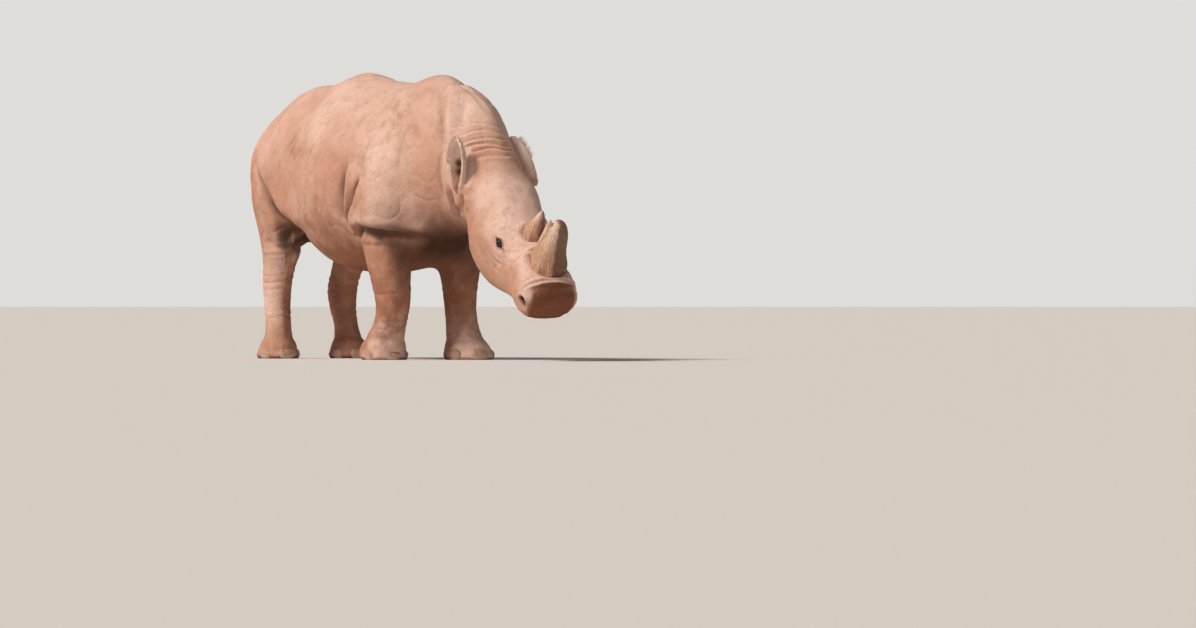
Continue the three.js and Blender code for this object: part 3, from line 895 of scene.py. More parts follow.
def set_lids(co, name, side):
    """Opens the skin over an eye, and turns the opening's edges into two thick lids with creases
    round them. Returns the new places and how far from the eye's middle each one is."""
    ahead, up, out = eye_axes(side)
    away = co - EYES[name]
    a, b, h = away @ ahead, away @ up, away @ out
    across = np.hypot(a, b)
    lens = np.where((across < 0.09) & (h > -0.05), lens_size(a, b), FAR)
    ball = np.sqrt(np.clip(EYE_RADIUS**2 - across**2, 0, None))
    upper = 0.0016 * step(b / 0.006)
    lid = ball + LID_THICKNESS + upper + 0.002 * bell((lens - 1.2) / 0.16)
    floor = -0.25 * EYE_RADIUS
    target = np.where(lens < 1.07, floor + step((lens - 0.93) / 0.14) * (lid - floor), lid)
    creases = 0.0024 * np.cos((lens - 1.2) * 7) * bell((lens - 2.0) / 0.8)
    blend = step((lens - 1.3) / 1.9)
    moved = target * (1 - blend) + (h + creases) * blend
    shift = np.where(lens < FAR, moved - h, 0)
    return co + shift[:, None] * out, lens


def nostril_place(side):
    """The middle of a nostril."""
    return on_head(0.925, side * 0.145, 0.002)


def open_nostril(co, side):
    """Sinks a comma-shaped nostril with a raised rim. Returns the new places and how far from the
    nostril's middle each one is."""
    ahead, up, out = side_axes(side, 0.3, 0)
    away = co - nostril_place(side)
    a, b, h = away @ ahead, away @ up, away @ out
    size = np.where(np.abs(h) < 0.06, np.hypot(a / 0.029, (b + 9 * a**2) / 0.020), FAR)
    shift = -0.034 * step((1.15 - size) / 0.6) + 0.007 * bell((size - 1.55) / 0.4)
    return co + shift[:, None] * out, size


def toes(co):
    """Three toes on each foot swell round their nails, with clefts between them."""
    height = np.zeros(len(co))
    for node in NODES:
        if node.startswith("nail"):
            away = (co - np.array(middle(node))) / np.array([0.050, 0.050, 0.060])
            height += 0.016 * bell(np.linalg.norm(away, axis=1))
    # a cushion of skin bulges over the rim of each sole
    height += 0.006 * bell((co[:, 2] - 0.02) / 0.02) - 0.004 * bell((co[:, 2] - 0.105) / 0.02)
    return height * step((0.16 - co[:, 2]) / 0.05)


def leg_folds(co):
    """Rings of loose skin round the hocks, wrists and ankles."""
    height = np.zeros(len(co))
    # which leg, the lowest and highest ring, how far apart the rings are and how high, in metres
    bands = (
        ("hindleg", 0.17, 0.64, 0.036, 0.0055),
        ("foreleg", 0.13, 0.30, 0.032, 0.0050),
        ("foreleg", 0.28, 0.50, 0.048, 0.0040),
    )
    for name in SIDES:
        for kind, low, high, pitch, rise in bands:
            leg = middle(f"{kind}_{name}_lower")
            near = np.hypot(co[:, 0] - leg.x, co[:, 1] - leg.y) < 0.24
            slope = 0.10 * (co[:, 0] - leg.x)
            level = co[:, 2] + slope + 0.010 * np.sin(11 * co[:, 0] + 17 * co[:, 1])
            wave = np.abs(np.sin(np.pi * level / pitch)) ** 0.6 - 0.7
            strength = 0.55 + 0.45 * np.sin(7 * co[:, 0] - 13 * co[:, 1] + level * 31)
            band = step((co[:, 2] - low) / 0.07) * step((high - co[:, 2]) / 0.12)
            height += near * band * rise * wave * strength
    return height


def horn_collars(co):
    """Thick skin that rises against the foot of each horn."""
    height = np.zeros(len(co))
    # each horn's foot, along and above in head lengths, and the reach of its collar in metres
    for along, above, reach in ((0.787, 0.13, 0.112), (0.562, 0.15, 0.078)):
        away = np.linalg.norm(co - on_head(along, 0, above), axis=1)
        height += 0.011 * bell((away - reach) / 0.022)
    return height


def crumple(co, size, seed, stretch=(1, 1, 1)):
    """Irregular swelling, about -1 to 1, of crossed waves as long as size."""
    rng = np.random.default_rng(seed)
    co = co / (size * np.array(stretch))
    total = np.zeros(len(co))
    for _ in range(9):
        way, other = unit(rng.normal(size=3)), unit(rng.normal(size=3))
        bend = 1.5 * np.sin(co @ other * 2.1 + rng.uniform(0, 6))
        total += np.sin(2 * np.pi * (co @ way) + bend + rng.uniform(0, 6))
    return total / 3


def wrinkled(co, size, seed, stretch=(1, 1, 1)):
    """Fine creases, 0 on the skin and down to -1 in each crease, where a crumpled field crosses 0."""
    return -bell(crumple(co, size, seed, stretch) / 0.16)


def finer_near(mesh, centres, reach):
    """Splits the edges that begin near some places."""
    bm = bmesh.new()
    bm.from_mesh(mesh)
    bm.verts.ensure_lookup_table()
    co = read(mesh)
    near = np.zeros(len(co), bool)
    for centre in centres:
        near |= np.linalg.norm(co - centre, axis=1) < reach
    edges = {edge for i in np.flatnonzero(near) for edge in bm.verts[i].link_edges}
    bmesh.ops.subdivide_edges(bm, edges=list(edges), cuts=1, use_grid_fill=True)
    bm.to_mesh(mesh)
    bm.free()


def on_ear(co, name):
    """1 on an ear, 0 elsewhere."""
    up, out, across = ear_places(co, name).T
    over = step((0.085 - np.hypot(out, across)) / 0.02)
    return over * step((up + 0.12) / 0.04) * step((0.165 - up) / 0.03)


def on_face(co):
    """1 on the face, 0 behind the head."""
    return step((head_places(co)[:, 0] - 0.02) / 0.2)


def on_lip_front(co, out):
    """1 on the broad front of the upper lip, 0 elsewhere."""
    head = head_places(co)
    front = step((head[:, 0] - 0.885) / 0.06) * step((out @ HEAD_AHEAD - 0.16) / 0.55)
    return front * step((0.16 - np.abs(head[:, 1])) / 0.05)


def on_right_hock(co, out):
    """1 on the outer side of the right hock, where the mud has dried pale, 0 elsewhere."""
    hock = middle("hindleg_right_lower")
    near = step((0.2 - np.hypot(co[:, 0] - hock.x, co[:, 1] - hock.y)) / 0.05)
    return near * bell((co[:, 2] - 0.32) / 0.2) * step((-out[:, 1] + 0.1) / 0.5)


# Soft patches seen from the side: flank place, reach along and up, and amount. The pale ones are dust,
# and on the ring before the shoulder, the shoulder, the upper arm and the rim over the foreleg also
# painted light on lit bulges; the others are mud.
DUST_AND_LIGHT_PATCHES = {
    "ring_before_shoulder": ((1.055, 0.76), (0.04, 0.3), 0.5),
    "hip_point": ((0.24, 0.72), (0.05, 0.14), 0.22),
    "shoulder": ((0.82, 0.66), (0.09, 0.2), 0.30),
    "over_foreleg": ((0.76, 0.47), (0.08, 0.03), 0.35),
    "upper_arm": ((0.88, 0.55), (0.08, 0.1), 0.50),
}
MUD_PATCHES = {
    "withers": ((0.84, 0.84), (0.07, 0.07), 0.30),
    "behind_shoulder": ((0.745, 0.70), (0.08, 0.08), 0.22),
    "belly": ((0.62, 0.36), (0.2, 0.2), 0.35),
}


def patches(table, co):
    """The sum of the patches in a table, at each point."""
    along, up = flank_places(co)
    return sum(
        amount * bell(np.hypot((along - x) / reach_along, (up - z) / reach_up))
        for (x, z), (reach_along, reach_up), amount in table.values()
    )


def dust(co, out, depth):
    """How pale each point is, about 0 to 2: from dust, and from painted light on the ears, the fronts of
    the forefeet and some lit bulges.
    """
    along, up = flank_places(co)
    face = on_face(co)
    top_of_face = face * step((head_places(co)[:, 2] + 0.08) / 0.2)
    pale = 0.42 * step((up - 0.5) / 0.5) + 0.22 * np.clip(out[:, 2], 0, 1)
    pale += 0.08 * face + 0.62 * top_of_face + patches(DUST_AND_LIGHT_PATCHES, co)
    pale -= 0.35 * step((0.45 - up) / 0.25) * (1 - face)
    pale += 0.5 * step((0.07 - co[:, 2]) / 0.05)
    # dust sits on the rings of skin round the right hock; the fronts of the forefeet are pale from dust
    # and from painted light
    pale += on_right_hock(co, out) * (1.05 + 60 * np.clip(depth, -0.006, 0.006))
    pale += 1.2 * bell((co[:, 2] - 0.12) / 0.12) * step((out[:, 0] + 0.2) / 0.6) * (along > 0.6)
    # the ears are painted pale: painted light, with dust
    for name in SIDES:
        pale += 1.3 * on_ear(co, name)
    return pale


def mud(co, out):
    """How red mud stains each point, about 0 to 1; on the front of the upper lip it is also painted
    shade.
    """
    along, up = flank_places(co)
    off_face = 1 - on_face(co)
    # the front of the upper lip is dark from wet mud and from painted shade
    stain = 0.42 * step((0.44 - up) / 0.25) * off_face + 0.95 * on_lip_front(co, out)
    stain += patches(MUD_PATCHES, co) + 0.35 * np.clip(-out[:, 2], 0, 1) * off_face
    stain += 0.45 * step((0.22 - along) / 0.14) * bell((up - 0.5) / 0.28)
    stain += 0.16 * bell(np.linalg.norm(head_places(co) - (0.45, 0, -0.16), axis=1) / 0.3)
    return stain - 0.5 * on_right_hock(co, out)


# The way the light is taken to come from: the groin and the chest get more painted shade where they turn
# away from it.
SHADE_LIGHT_WAY = unit(np.array([-0.3, -0.75, 0.6]))
# How far up an ear from its middle its two spots of painted shadow lie, for the shade deep in its
# opening.
EAR_SHADOW_SPOTS = (0.0, -0.045)


def painted_shade_amount(co, out, depth, openings):
    """How much painted shade darkens each point, 0 to 1: in folds, the groin, the chest, between the
    legs, along the floor, on the front of the upper lip, round the eyes and nostrils and in two spots
    inside each ear.
    """
    along, up = flank_places(co)
    off_face = 1 - on_face(co)
    # skin turned away from the light, where the painted shade of the groin and the chest is deepest
    turned_from_light = step((0.45 - out @ SHADE_LIGHT_WAY) / 0.7) * off_face
    groin = bell(np.hypot((along - 0.31) / 0.10, (up - 0.42) / 0.08) ** 2)
    brisket = bell(np.hypot((along - 0.93) / 0.18, (up - 0.385) / 0.12)) * (co[:, 2] > 0.35)
    inside = step((0.20 - np.abs(co[:, 1])) / 0.1) * step((0.50 - up) / 0.1) * step((up - 0.1) / 0.1)
    # painted shade in the folds, along the floor, in the groin and the chest, between the legs and on
    # the front of the upper lip
    darkest = [
        0.85 * step((-depth - 0.003) / 0.018),
        0.6 * step((0.016 - co[:, 2]) / 0.012),
        groin * (0.3 + 0.7 * turned_from_light),
        brisket * (0.3 + 0.7 * turned_from_light),
        0.40 * inside * off_face,
        0.35 * on_lip_front(co, out),
    ]
    # two spots of painted shadow deep in each ear's opening
    for name in SIDES:
        place = ear_places(co, name)
        for level in EAR_SHADOW_SPOTS:
            away = np.linalg.norm(place - (level, -0.02, 0), axis=1)
            darkest.append(0.95 * bell((away / 0.024) ** 2))
    painted_shade = np.clip(np.max(darkest, axis=0), 0, 0.95)
    # painted shade round the eyes and inside the nostrils
    for size, reach in openings:
        painted_shade = np.maximum(painted_shade, step((reach - size) / (0.6 * reach)))
    return painted_shade


def paint(mesh, depth, openings):
    """Stores where dust and painted light make the hide pale, where red mud stains it, where painted
    shade darkens it and where pale hair and painted light cover the ears."""
    co, out = read(mesh), normals(mesh)
    add_attribute(mesh, "pale", dust(co, out, depth))
    add_attribute(mesh, "stain", mud(co, out))
    add_attribute(mesh, "painted_shade", painted_shade_amount(co, out, depth, openings))
    # pale hair on the ears, laid on thicker as painted light
    down = np.zeros(len(co))
    for name in SIDES:
        up_ear = ear_places(co, name)[:, 0]
        down += 0.5 * on_ear(co, name) * step((up_ear + 0.08) / 0.12)
    add_attribute(mesh, "down", down)


def tail_root():
    """Where the tail leaves the rump."""
    low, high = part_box("tail")
    return np.array([high.x - 0.03, (low.y + high.y) / 2, high.z - 0.05])


def blend_roots(mesh):
    """Smooths the skin where the tail and the ears grow from it."""
    relax(mesh, 40, bell(np.linalg.norm(read(mesh) - tail_root(), axis=1) / 0.11))
    for name in SIDES:
        root = np.array(middle(f"ear_{name}")) - 0.12 * ear_axes(name)[0]
        relax(mesh, 14, bell(np.linalg.norm(read(mesh) - root, axis=1) / 0.05))


def make_skin(look, sizes):
    """One skin over all the flesh: swollen, folded, opened at eyes and nostrils, and painted."""
    mesh = remeshed(joined(flesh_core(), thin_flesh()), sizes.skin_facet)
    relax(mesh, 4)
    blend_roots(mesh)
    nostrils = [nostril_place(side) for side in SIDES.values()]
    finer_near(mesh, EYES.values(), 0.07)
    finer_near(mesh, [*EYES.values(), *nostrils], 0.042)

    co, out = read(mesh), normals(mesh)
    swelling = body_lumps(co, out) + head_lumps(co) + horn_collars(co) + toes(co)
    swelling += 0.014 * bell(np.linalg.norm(co - tail_root(), axis=1) / 0.12)
    raise_skin(mesh, 0.004 + swelling + 0.003 * crumple(co, 0.4, 4))
    co, out = read(mesh), normals(mesh)
    ribs = rib_wrinkles(co, out, sizes.rib_wrinkle_depth)
    depth = body_folds(co, out) + ribs + nape_folds(co) + head_folds(co) + leg_folds(co)
    loose = step(np.abs(out[:, 1]) / 0.4)
    fine = 0.0022 * wrinkled(co, 0.16, 11, (1, 1, 1.6)) * loose
    raise_skin(mesh, depth + fine)
    relax(mesh, 1, 0.5)

    co = read(mesh)
    openings = []
    for name, side in SIDES.items():
        co, lens = set_lids(co, name, side)
        co, nostril = open_nostril(co, side)
        # how far the painted shade reaches round each eye and nostril
        openings += [(lens, 2.6), (nostril, 1.6)]
    co[:, 2] = np.maximum(co[:, 2], 0)
    write(mesh, co)
    # the folds' depth also sets where painted shade darkens them
    paint(mesh, depth - 0.25 * ribs + 0.8 * fine, openings)
    mesh = thinned(mesh, SKIN_TRIANGLES)
    smooth_shaded(mesh)
    return add_object("skin", mesh, FLESH, hide_material(look, sizes))


# ---------------------------------------------------------------- eyes, horns and nails


def make_eyes(look):
    """Glossy balls with a slightly bulging cornea, looking out and a little ahead."""
    material = eye_material(look)
    for name, side in SIDES.items():
        ahead, up, out = eye_axes(side)
        bm = bmesh.new()
        bmesh.ops.create_uvsphere(bm, u_segments=48, v_segments=32, radius=EYE_RADIUS)
        turn = Matrix([ahead, up, out]).transposed().to_4x4()
        if turn.determinant() < 0:
            turn = turn @ Matrix.Scale(-1, 4, (1, 0, 0))
        bmesh.ops.transform(bm, matrix=Matrix.Translation(EYES[name]) @ turn, verts=bm.verts)
        mesh = mesh_of(bm, f"eyeball_{name}")
        away = read(mesh) - EYES[name]
        angle = np.arccos(np.clip(away @ out / EYE_RADIUS, -1, 1))
        add_attribute(mesh, "from_pupil", angle / 1.05)
        write(mesh, EYES[name] + away * (1 + 0.05 * bell(angle / 0.5))[:, None])
        smooth_shaded(mesh)
        add_object(f"eyeball_{name}", mesh, [f"eye_{name}"], material)


# Each horn's foot on the head, along and above in head lengths, how far back it leans from square
# to the face, in degrees, and its length in metres.
HORNS = {"front": ((0.787, 0.14), 9, 0.228), "rear": ((0.562, 0.172), 4, 0.132)}
HORN_TRIANGLES = 60_000


def horn_axes(lean):
    """Axes of a horn that leans back by some degrees: forward and left across it, and up it."""
    turn = math.radians(lean)
    up = HEAD_UP * math.cos(turn) - HEAD_AHEAD * math.sin(turn)
    return np.array([np.cross(HEAD_LEFT, up), HEAD_LEFT, up])


def make_horns(look, sizes):
    """Both horns: packed fibres in ridges, a frayed foot and a worn, blunt end."""
    material = horn_material(look)
    for name, ((along, above), lean, length) in HORNS.items():
        mesh = remeshed(merged_copy([f"horn_{name}"]), FINEST)
        relax(mesh, 30)
        axes = horn_axes(lean)
        foot = on_head(along, 0, above)
        own = (read(mesh) - foot) @ axes.T
        rise = own[:, 2] / length
        angle = np.arctan2(own[:, 1], own[:, 0])
        around = np.hypot(own[:, 0], own[:, 1])
        # waves of several counts round the horn add up to uneven ridges
        grain = np.zeros(len(own))
        rng = np.random.default_rng(7)
        for count in (9, 17, 29, 43, 61):
            phase = rng.uniform(0, 6) + 0.8 * np.sin(own[:, 2] * rng.uniform(14, 30))
            grain += np.sin(count * angle + phase) / count**0.45
        # the ridges are deepest toward the foot, where the horn also spreads
        low = step((0.45 - rise) / 0.5)
        ridges = sizes.horn_ridge_depth * (0.36 + 0.64 * low)
        height = 0.0035 + grain * ridges * step(around / 0.02)
        height += 0.004 * low * bell((rise - 0.08) / 0.1)
        height += 0.0018 * crumple(own, 0.05, 21, (1, 1, 3)) - 0.002 * step((rise - 0.85) / 0.1)
        raise_skin(mesh, height)
        add_attribute(mesh, "horn_place", own)
        add_attribute(mesh, "horn_rise", rise)
        mesh = thinned(mesh, HORN_TRIANGLES)
        smooth_shaded(mesh)
        add_object(f"{name}_horn", mesh, [f"horn_{name}"], material)


def make_nails(look):
    """Twelve broad toenails, three to a foot, domed and ridged."""
    material = nail_material(look)
    for node in (name for name in NODES if name.startswith("nail")):
        low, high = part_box(node)
        mesh = remeshed(merged_copy([node]), FINEST)
        relax(mesh, 14)
        co = read(mesh)
        rise = (co[:, 2] - low.z) / (high.z - low.z)
        ridges = 0.0006 * np.sin(rise * 44 + 3 * np.sin(co[:, 0] * 60 + co[:, 1] * 50))
        chips = 0.0010 * crumple(co, 0.02, 5)
        raise_skin(mesh, 0.0020 + ridges + chips - 0.003 * step((rise - 0.7) / 0.3))
        co = read(mesh)
        co[:, 2] = np.maximum(co[:, 2], 0)
        write(mesh, co)
        smooth_shaded(mesh)
        add_object(node.replace("nail", "toenail"), mesh, [node], material)


# ---------------------------------------------------------------- bristles

PATCH = 0.003  # the width of a bristle's patch of its UV map
TAIL_BRISTLES, EAR_HAIRS, LASHES = 420, 760, 46


def strands(name, roots, ways, lengths, thickness, places, droop, material):
    """A piece of bristles, each a thin bent spike of three sides, as one joined mesh.

    places holds each root's place on an unwrap of the skin, and the bristle's patch lies there.
    """
    rings, sides = 4, 3
    count = len(roots)
    ways = ways / np.linalg.norm(ways, axis=1)[:, None]
    across = np.cross(ways, (0.3, 0.5, 0.81))
    across /= np.linalg.norm(across, axis=1)[:, None]
    other = np.cross(ways, across)
    rows = []
    for ring in range(rings + 1):
        t = ring / rings
        centre = roots + lengths[:, None] * (ways * t + np.array(droop) * t * t)
        if ring == rings:
            rows.append(centre[:, None])
            break
        radius = (thickness * (1 - 0.75 * t))[:, None]
        turns = [2 * math.pi * k / sides for k in range(sides)]
        corners = [centre + radius * (math.cos(a) * across + math.sin(a) * other) for a in turns]
        rows.append(np.stack(corners, 1))
    co = np.concatenate(rows, 1)
    # the faces of one bristle, which every other one repeats
    per = co.shape[1]
    quads, ends = [], [[2, 1, 0]]
    for ring in range(rings - 1):
        for k in range(sides):
            a, b = ring * sides + k, ring * sides + (k + 1) % sides
            quads.append([a, b, b + sides, a + sides])
    last = (rings - 1) * sides
    ends += [[last + k, last + (k + 1) % sides, per - 1] for k in range(sides)]
    faces = [[i * per + v for v in face] for i in range(count) for face in (*quads, *ends)]
    mesh = bpy.data.meshes.new(name)
    mesh.from_pydata(co.reshape(-1, 3).tolist(), [], faces)
    layer = mesh.uv_layers.new(name="OFBake")
    vertex = np.empty(len(mesh.loops), np.int32)
    mesh.loops.foreach_get("vertex_index", vertex)
    strand, corner = vertex // per, vertex % per
    uv = places[strand] + PATCH * np.stack([(corner % sides) / sides, corner // sides / rings], 1)
    layer.data.foreach_set("uv", uv.astype(np.float32).ravel())
    mesh.update()
    smooth_shaded(mesh)
    return add_object(name, mesh, (), material)


def unwrap_round(co, axis_point, axis, forward):
    """Each point's place on the skin unrolled round an axis: 0 to 1 round it and along it."""
    side = np.cross(axis, forward)
    away = co - axis_point
    angle = np.arctan2(away @ side, away @ forward) / (2 * math.pi) + 0.5
    rise = away @ axis
    rise = (rise - rise.min()) / max(np.ptp(rise), 1e-6)
    return 0.02 + 0.95 * np.stack([angle, rise], 1)


def make_tail_tuft(skin_co, material, rng, longest):
    """Bristles that hang from the end of the tail and spread a little."""
    low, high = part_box("tail")
    tuft = low.z + TUFT_SHARE * (high.z - low.z)
    places = skin_co[(skin_co[:, 0] < TRUNK_LOW.x + 0.02) & (skin_co[:, 2] < tuft)]
    roots = places[rng.integers(0, len(places), TAIL_BRISTLES)]
    centre = roots.mean(0)
    spread = (roots - centre) * (1, 1, 0)
    ways = np.array([0, 0, -1.0]) + spread * 9 + rng.normal(0, 0.10, (len(roots), 3))
    bottom = low.z - 0.004
    lengths = np.clip((roots[:, 2] - bottom) * rng.uniform(0.6, 1.0, len(roots)), 0.03, longest)
    thickness = rng.uniform(0.0006, 0.0010, len(roots))
    uv = unwrap_round(roots, centre, np.array([0, 0, 1.0]), np.array([1.0, 0, 0]))
    return strands("tail_tuft", roots, ways, lengths, thickness, uv, (0, 0, -0.15), material)


def make_ear_fringe(name, skin_co, material, rng, longest):
    """Hair along both rims of an ear, pointing out of its opening and up it."""
    ear = skin_co[on_ear(skin_co, name) > 0.99]
    axis, mouth, across = ear_axes(name)
    rise = ear @ axis
    rise = (rise - rise.min()) / np.ptp(rise)
    roots, ways = [], []
    for _ in range(EAR_HAIRS):
        level = rng.uniform(0.30, 1.0) ** 0.8
        edge = rng.choice((-1, 1))
        band = ear[np.abs(rise - level) < 0.012]
        if len(band) < 3:
            continue
        reach = unit(0.75 * mouth + edge * 0.66 * across)
        best = band[np.argmax(band @ reach + rng.normal(0, 0.003, len(band)))]
        roots.append(best - 0.002 * reach)
        ways.append(0.75 * reach + 0.7 * axis + rng.normal(0, 0.25, 3))
    roots, ways = np.array(roots), np.array(ways)
    lengths = longest * rng.uniform(0.4, 1.0, len(roots))
    thickness = rng.uniform(0.00035, 0.0006, len(roots))
    uv = unwrap_round(roots, roots.mean(0), axis, mouth)
    return strands(f"ear_fringe_{name}", roots, ways, lengths, thickness, uv, (0, 0, 0), material)


def make_lashes(name, side, skin_co, material, rng, longest):
    """Lashes along the upper lid of an eye."""
    ahead, up, out = eye_axes(side)
    away = skin_co - EYES[name]
    a, b, h = away @ ahead, away @ up, away @ out
    lens = np.where((np.hypot(a, b) < 0.05) & (h > -0.01), lens_size(a, b), FAR)
    edge = np.flatnonzero((lens > 1.03) & (lens < 1.28) & (b > -0.002))
    pick = rng.permutation(edge)[:LASHES]
    roots = skin_co[pick]
    ways = out * 0.8 + up * 0.35 + away[pick] * 14 + rng.normal(0, 0.12, (len(pick), 3))
    lengths = longest * rng.uniform(0.55, 1.0, len(pick))
    thickness = np.full(len(pick), 0.0004)
    uv = unwrap_round(roots, EYES[name], out, ahead)
    return strands(f"eyelashes_{name}", roots, ways, lengths, thickness, uv, (0, 0, -0.35), material)


def make_bristles(look, sizes):
    """The tuft of the tail, the fringes of the ears and the eyelashes."""
    material = bristle_material("coarse_bristle", look.bristle_colour, look.bristle_dust_colour)
    ear_material = bristle_material("ear_hair", look.ear_hair_colour, look.dust_colour)
    skin_co = read(bpy.data.objects["skin"].data)
    rng = np.random.default_rng(3)
    make_tail_tuft(skin_co, material, rng, sizes.tail_bristle_length)
    for name, side in SIDES.items():
        make_ear_fringe(name, skin_co, ear_material, rng, sizes.ear_hair_length)
        make_lashes(name, side, skin_co, material, rng, sizes.lash_length)


# ---------------------------------------------------------------- settings and operators


def colour_setting(name, description, code):
    """A colour that the user can change, from its sRGB hex code."""
    return bpy.props.FloatVectorProperty(
        name=name, description=description, subtype="COLOR", size=3, min=0, max=1,
        default=linear(code),
    )


def size_setting(name, description, metres):
    """A length that the user can change."""
    return bpy.props.FloatProperty(
        name=name, description=description, default=metres, min=0.0, precision=4,
        subtype="DISTANCE", unit="LENGTH",
    )


class RhinoSizes(bpy.types.PropertyGroup):
    skin_facet: size_setting("Skin facet", "Size of the facets that the skin is made of", FINE)
    rib_wrinkle_depth: size_setting("Rib wrinkles", "Depth of the wrinkles over the ribs", 0.013)
    plate_width: size_setting("Mud plates", "Width of the plates of cracked mud", 0.008)
    hide_relief: size_setting("Hide relief", "Depth of the finest wrinkles and cracks", 0.0032)
    horn_ridge_depth: size_setting("Horn ridges", "Depth of the ridges at a horn's foot", 0.0028)
    tail_bristle_length: size_setting("Tail bristles", "Length of the tail's longest bristles", 0.14)
    ear_hair_length: size_setting("Ear hair", "Length of the longest hairs on the ears' rims", 0.034)
    lash_length: size_setting("Lashes", "Length of the longest eyelashes", 0.018)


class RhinoLook(bpy.types.PropertyGroup):
    flank_colour: colour_setting("Flank", "Film of dry mud on the flanks", "#cb977c")
    dust_colour: colour_setting("Dust", "Pale pink dust on the back and face", "#e8c2b0")
    stain_colour: colour_setting("Stain", "Red-brown mud on the belly, legs and lips", "#96593c")
    bare_colour: colour_setting("Bare hide", "Hide where the mud has rubbed off", "#ab897e")
    # painted shade in folds, openings and under the body, and the dark of the mud cracks
    shade_and_crack_colour: colour_setting("Crease", "Bottoms of folds and cracks", "#3e1d10")
    horn_colour: colour_setting("Horn", "Dusty fibres of the horns", "#d0a080")
    # mud on the foot of a horn, and painted shade on its side turned from the light
    horn_mud_and_shade_colour: colour_setting("Horn mud", "Mud on the side and foot of a horn", "#6e3f22")
    horn_tip_colour: colour_setting("Horn tip", "Rubbed end of a horn", "#edcbb2")
    horn_grain_colour: colour_setting("Horn grain", "Gaps between horn fibres", "#54321f")
    nail_colour: colour_setting("Nail", "Toenails", "#a8836c")
    nail_edge_colour: colour_setting("Nail edge", "Scuffed lower edges of the nails", "#cfae99")
    iris_colour: colour_setting("Iris", "Iris of the eye", "#25120a")
    eye_white_colour: colour_setting("Eye rim", "White of the eye where it shows", "#4a3226")
    bristle_colour: colour_setting("Bristle", "Bristles of the tail and the eyelids", "#3a2a22")
    ear_hair_colour: colour_setting("Ear hair", "Pale hair along the rims of the ears", "#f4decf")
    bristle_dust_colour: colour_setting("Bristle dust", "Dust on the bristles", "#d9bfa8")


class RHINO_OT_skin(bpy.types.Operator):
    """Make the skin from the frame's flesh parts"""

    bl_idname = "rhino.skin"
    bl_label = "Skin"

    def execute(self, context):
        make_skin(context.scene.rhino_look, context.scene.rhino_sizes)
        return {"FINISHED"}


class RHINO_OT_eyes(bpy.types.Operator):
    """Make both eyeballs"""

    bl_idname = "rhino.eyes"
    bl_label = "Eyes"

    def execute(self, context):
        make_eyes(context.scene.rhino_look)
        return {"FINISHED"}


class RHINO_OT_horns(bpy.types.Operator):
    """Make the front and rear horn"""

    bl_idname = "rhino.horns"
    bl_label = "Horns"

    def execute(self, context):
        make_horns(context.scene.rhino_look, context.scene.rhino_sizes)
        return {"FINISHED"}


class RHINO_OT_nails(bpy.types.Operator):
    """Make the twelve toenails"""

    bl_idname = "rhino.nails"
    bl_label = "Toenails"

    def execute(self, context):
        make_nails(context.scene.rhino_look)
        return {"FINISHED"}


class RHINO_OT_bristles(bpy.types.Operator):
    """Make the tail tuft, the ear fringes and the eyelashes on the finished skin"""

    bl_idname = "rhino.bristles"
    bl_label = "Bristles"

    def execute(self, context):
        make_bristles(context.scene.rhino_look, context.scene.rhino_sizes)
        return {"FINISHED"}


# ---------------------------------------------------------------- stage

VIEW_AZIMUTH = math.radians(61)
VIEW_ELEVATION = math.radians(0.15)
VIEW_DISTANCE = 50.0
FRAME_SPAN = 6.0711  # metres across the frame at the animal
SENSOR = 36  # millimetres
VIEW_MIDDLE = Vector((TRUNK_LOW.x + 0.919, 0, 0))
AIM_RIGHT, AIM_UP = 1.1624, 0.2284  # the aim, from the view's middle
FLOOR_RADIUS = 140
SUN_STRENGTH = 3.05
SUN_WIDTH = math.radians(16)
# The sky's colour near the horizon, where it lights the floor, and above it.
LOW_SKY, HIGH_SKY = (0.74, 0.725, 0.705), (0.165, 0.162, 0.16)


def make_floor():
    """A plain pale floor."""
    bm = bmesh.new()
    bmesh.ops.create_circle(bm, cap_ends=True, segments=96, radius=FLOOR_RADIUS)
    mesh = mesh_of(bm, "floor")
    floor = placed("floor", mesh)
    material, tree = new_material("pale_studio_floor")
    shader = add_node(tree, "BsdfPrincipled", {"Base Color": linear("#e4e0da"), "Roughness": 0.9})
    add_node(tree, "OutputMaterial", {"Surface": shader})
    mesh.materials.append(material)


def make_sky():
    """Soft light from all round, bright at the horizon and dim above."""
    world = bpy.data.worlds.new("studio")
    bpy.context.scene.world = world
    world.use_nodes = True
    tree = world.node_tree
    tree.nodes.clear()
    way = add_node(tree, "TexCoord", output="Generated")
    rise = add_node(tree, "SeparateXYZ", {"Vector": way}, output="Z")
    high = add_node(tree, "MapRange", {"Value": rise, "From Min": 0.04, "From Max": 0.16})
    sky = add_node(tree, "Mix", {"Factor": high, "A": LOW_SKY, "B": HIGH_SKY}, data_type="RGBA")
    background = add_node(tree, "Background", {"Color": sky, "Strength": 1.0})
    add_node(tree, "OutputWorld", {"Surface": background})


def make_camera(back, right):
    """A long lens, nearly level with the animal."""
    data = bpy.data.cameras.new("camera")
    data.sensor_width = SENSOR
    data.lens = SENSOR * VIEW_DISTANCE / FRAME_SPAN
    data.clip_end = 400
    camera = placed("camera", data)
    aim = VIEW_MIDDLE + right * AIM_RIGHT + Vector((0, 0, AIM_UP))
    camera.location = VIEW_MIDDLE + back * VIEW_DISTANCE
    camera.location.z = aim.z + VIEW_DISTANCE * math.tan(VIEW_ELEVATION)
    camera.rotation_euler = (aim - camera.location).to_track_quat("-Z", "Y").to_euler()
    bpy.context.scene.camera = camera


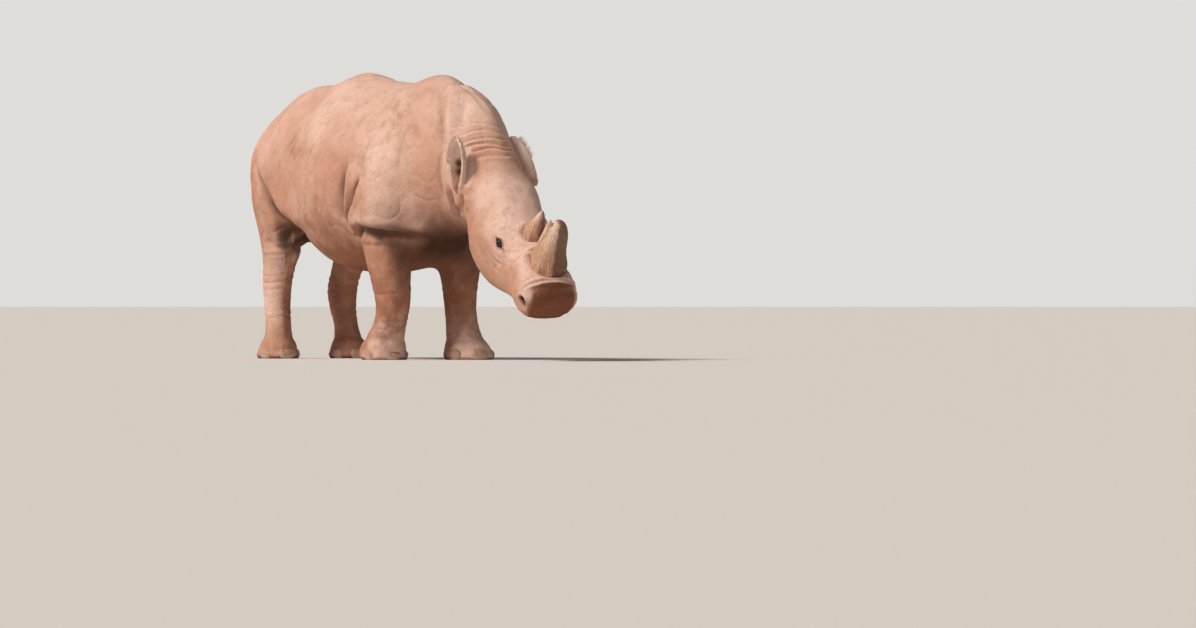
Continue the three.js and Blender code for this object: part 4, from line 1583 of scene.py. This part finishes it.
def make_sun(back, right):
    """A wide, warm key light from the left of the frame, above and a little in front."""
    data = bpy.data.lights.new("key", "SUN")
    data.energy = SUN_STRENGTH
    data.angle = SUN_WIDTH
    data.color = linear("#fff7f0")
    sun = placed("key", data)
    shines_from = back * 0.42 - right * 0.92 + Vector((0, 0, 1.1))
    sun.rotation_euler = (-shines_from).to_track_quat("-Z", "Y").to_euler()


def make_stage():
    """The floor, the lights and the camera."""
    # plain tone mapping, so that the colours set above come out as they are
    bpy.context.scene.view_settings.view_transform = "Standard"
    make_floor()
    make_sky()
    # from the animal to the camera, and to the right of the frame
    back = Vector((math.sin(VIEW_AZIMUTH), -math.cos(VIEW_AZIMUTH), 0))
    right = Vector((math.cos(VIEW_AZIMUTH), math.sin(VIEW_AZIMUTH), 0))
    make_camera(back, right)
    make_sun(back, right)


class RHINO_OT_stage(bpy.types.Operator):
    """Make the floor, the lights and the camera"""

    bl_idname = "rhino.stage"
    bl_label = "Stage"

    def execute(self, context):
        make_stage()
        return {"FINISHED"}


OPERATORS = (
    RHINO_OT_skin,
    RHINO_OT_eyes,
    RHINO_OT_horns,
    RHINO_OT_nails,
    RHINO_OT_bristles,
    RHINO_OT_stage,
)


class RHINO_PT_panel(bpy.types.Panel):
    bl_label = "Rhinoceros"
    bl_idname = "RHINO_PT_panel"
    bl_space_type = "VIEW_3D"
    bl_region_type = "UI"
    bl_category = "Rhinoceros"

    def draw(self, context):
        for operator in OPERATORS:
            self.layout.operator(operator.bl_idname)


CLASSES = (RhinoSizes, RhinoLook, *OPERATORS, RHINO_PT_panel)


def register():
    """Adds the classes and the settings."""
    for cls in CLASSES:
        bpy.utils.register_class(cls)
    bpy.types.Scene.rhino_sizes = bpy.props.PointerProperty(type=RhinoSizes)
    bpy.types.Scene.rhino_look = bpy.props.PointerProperty(type=RhinoLook)


def unregister():
    """Takes the settings and the classes away again."""
    del bpy.types.Scene.rhino_look
    del bpy.types.Scene.rhino_sizes
    for cls in reversed(CLASSES):
        bpy.utils.unregister_class(cls)


def main():
    """Makes every piece and the stage."""
    register()
    bpy.ops.rhino.skin()
    bpy.ops.rhino.eyes()
    bpy.ops.rhino.horns()
    bpy.ops.rhino.nails()
    bpy.ops.rhino.bristles()
    bpy.ops.rhino.stage()


if __name__ == "__main__":
    main()
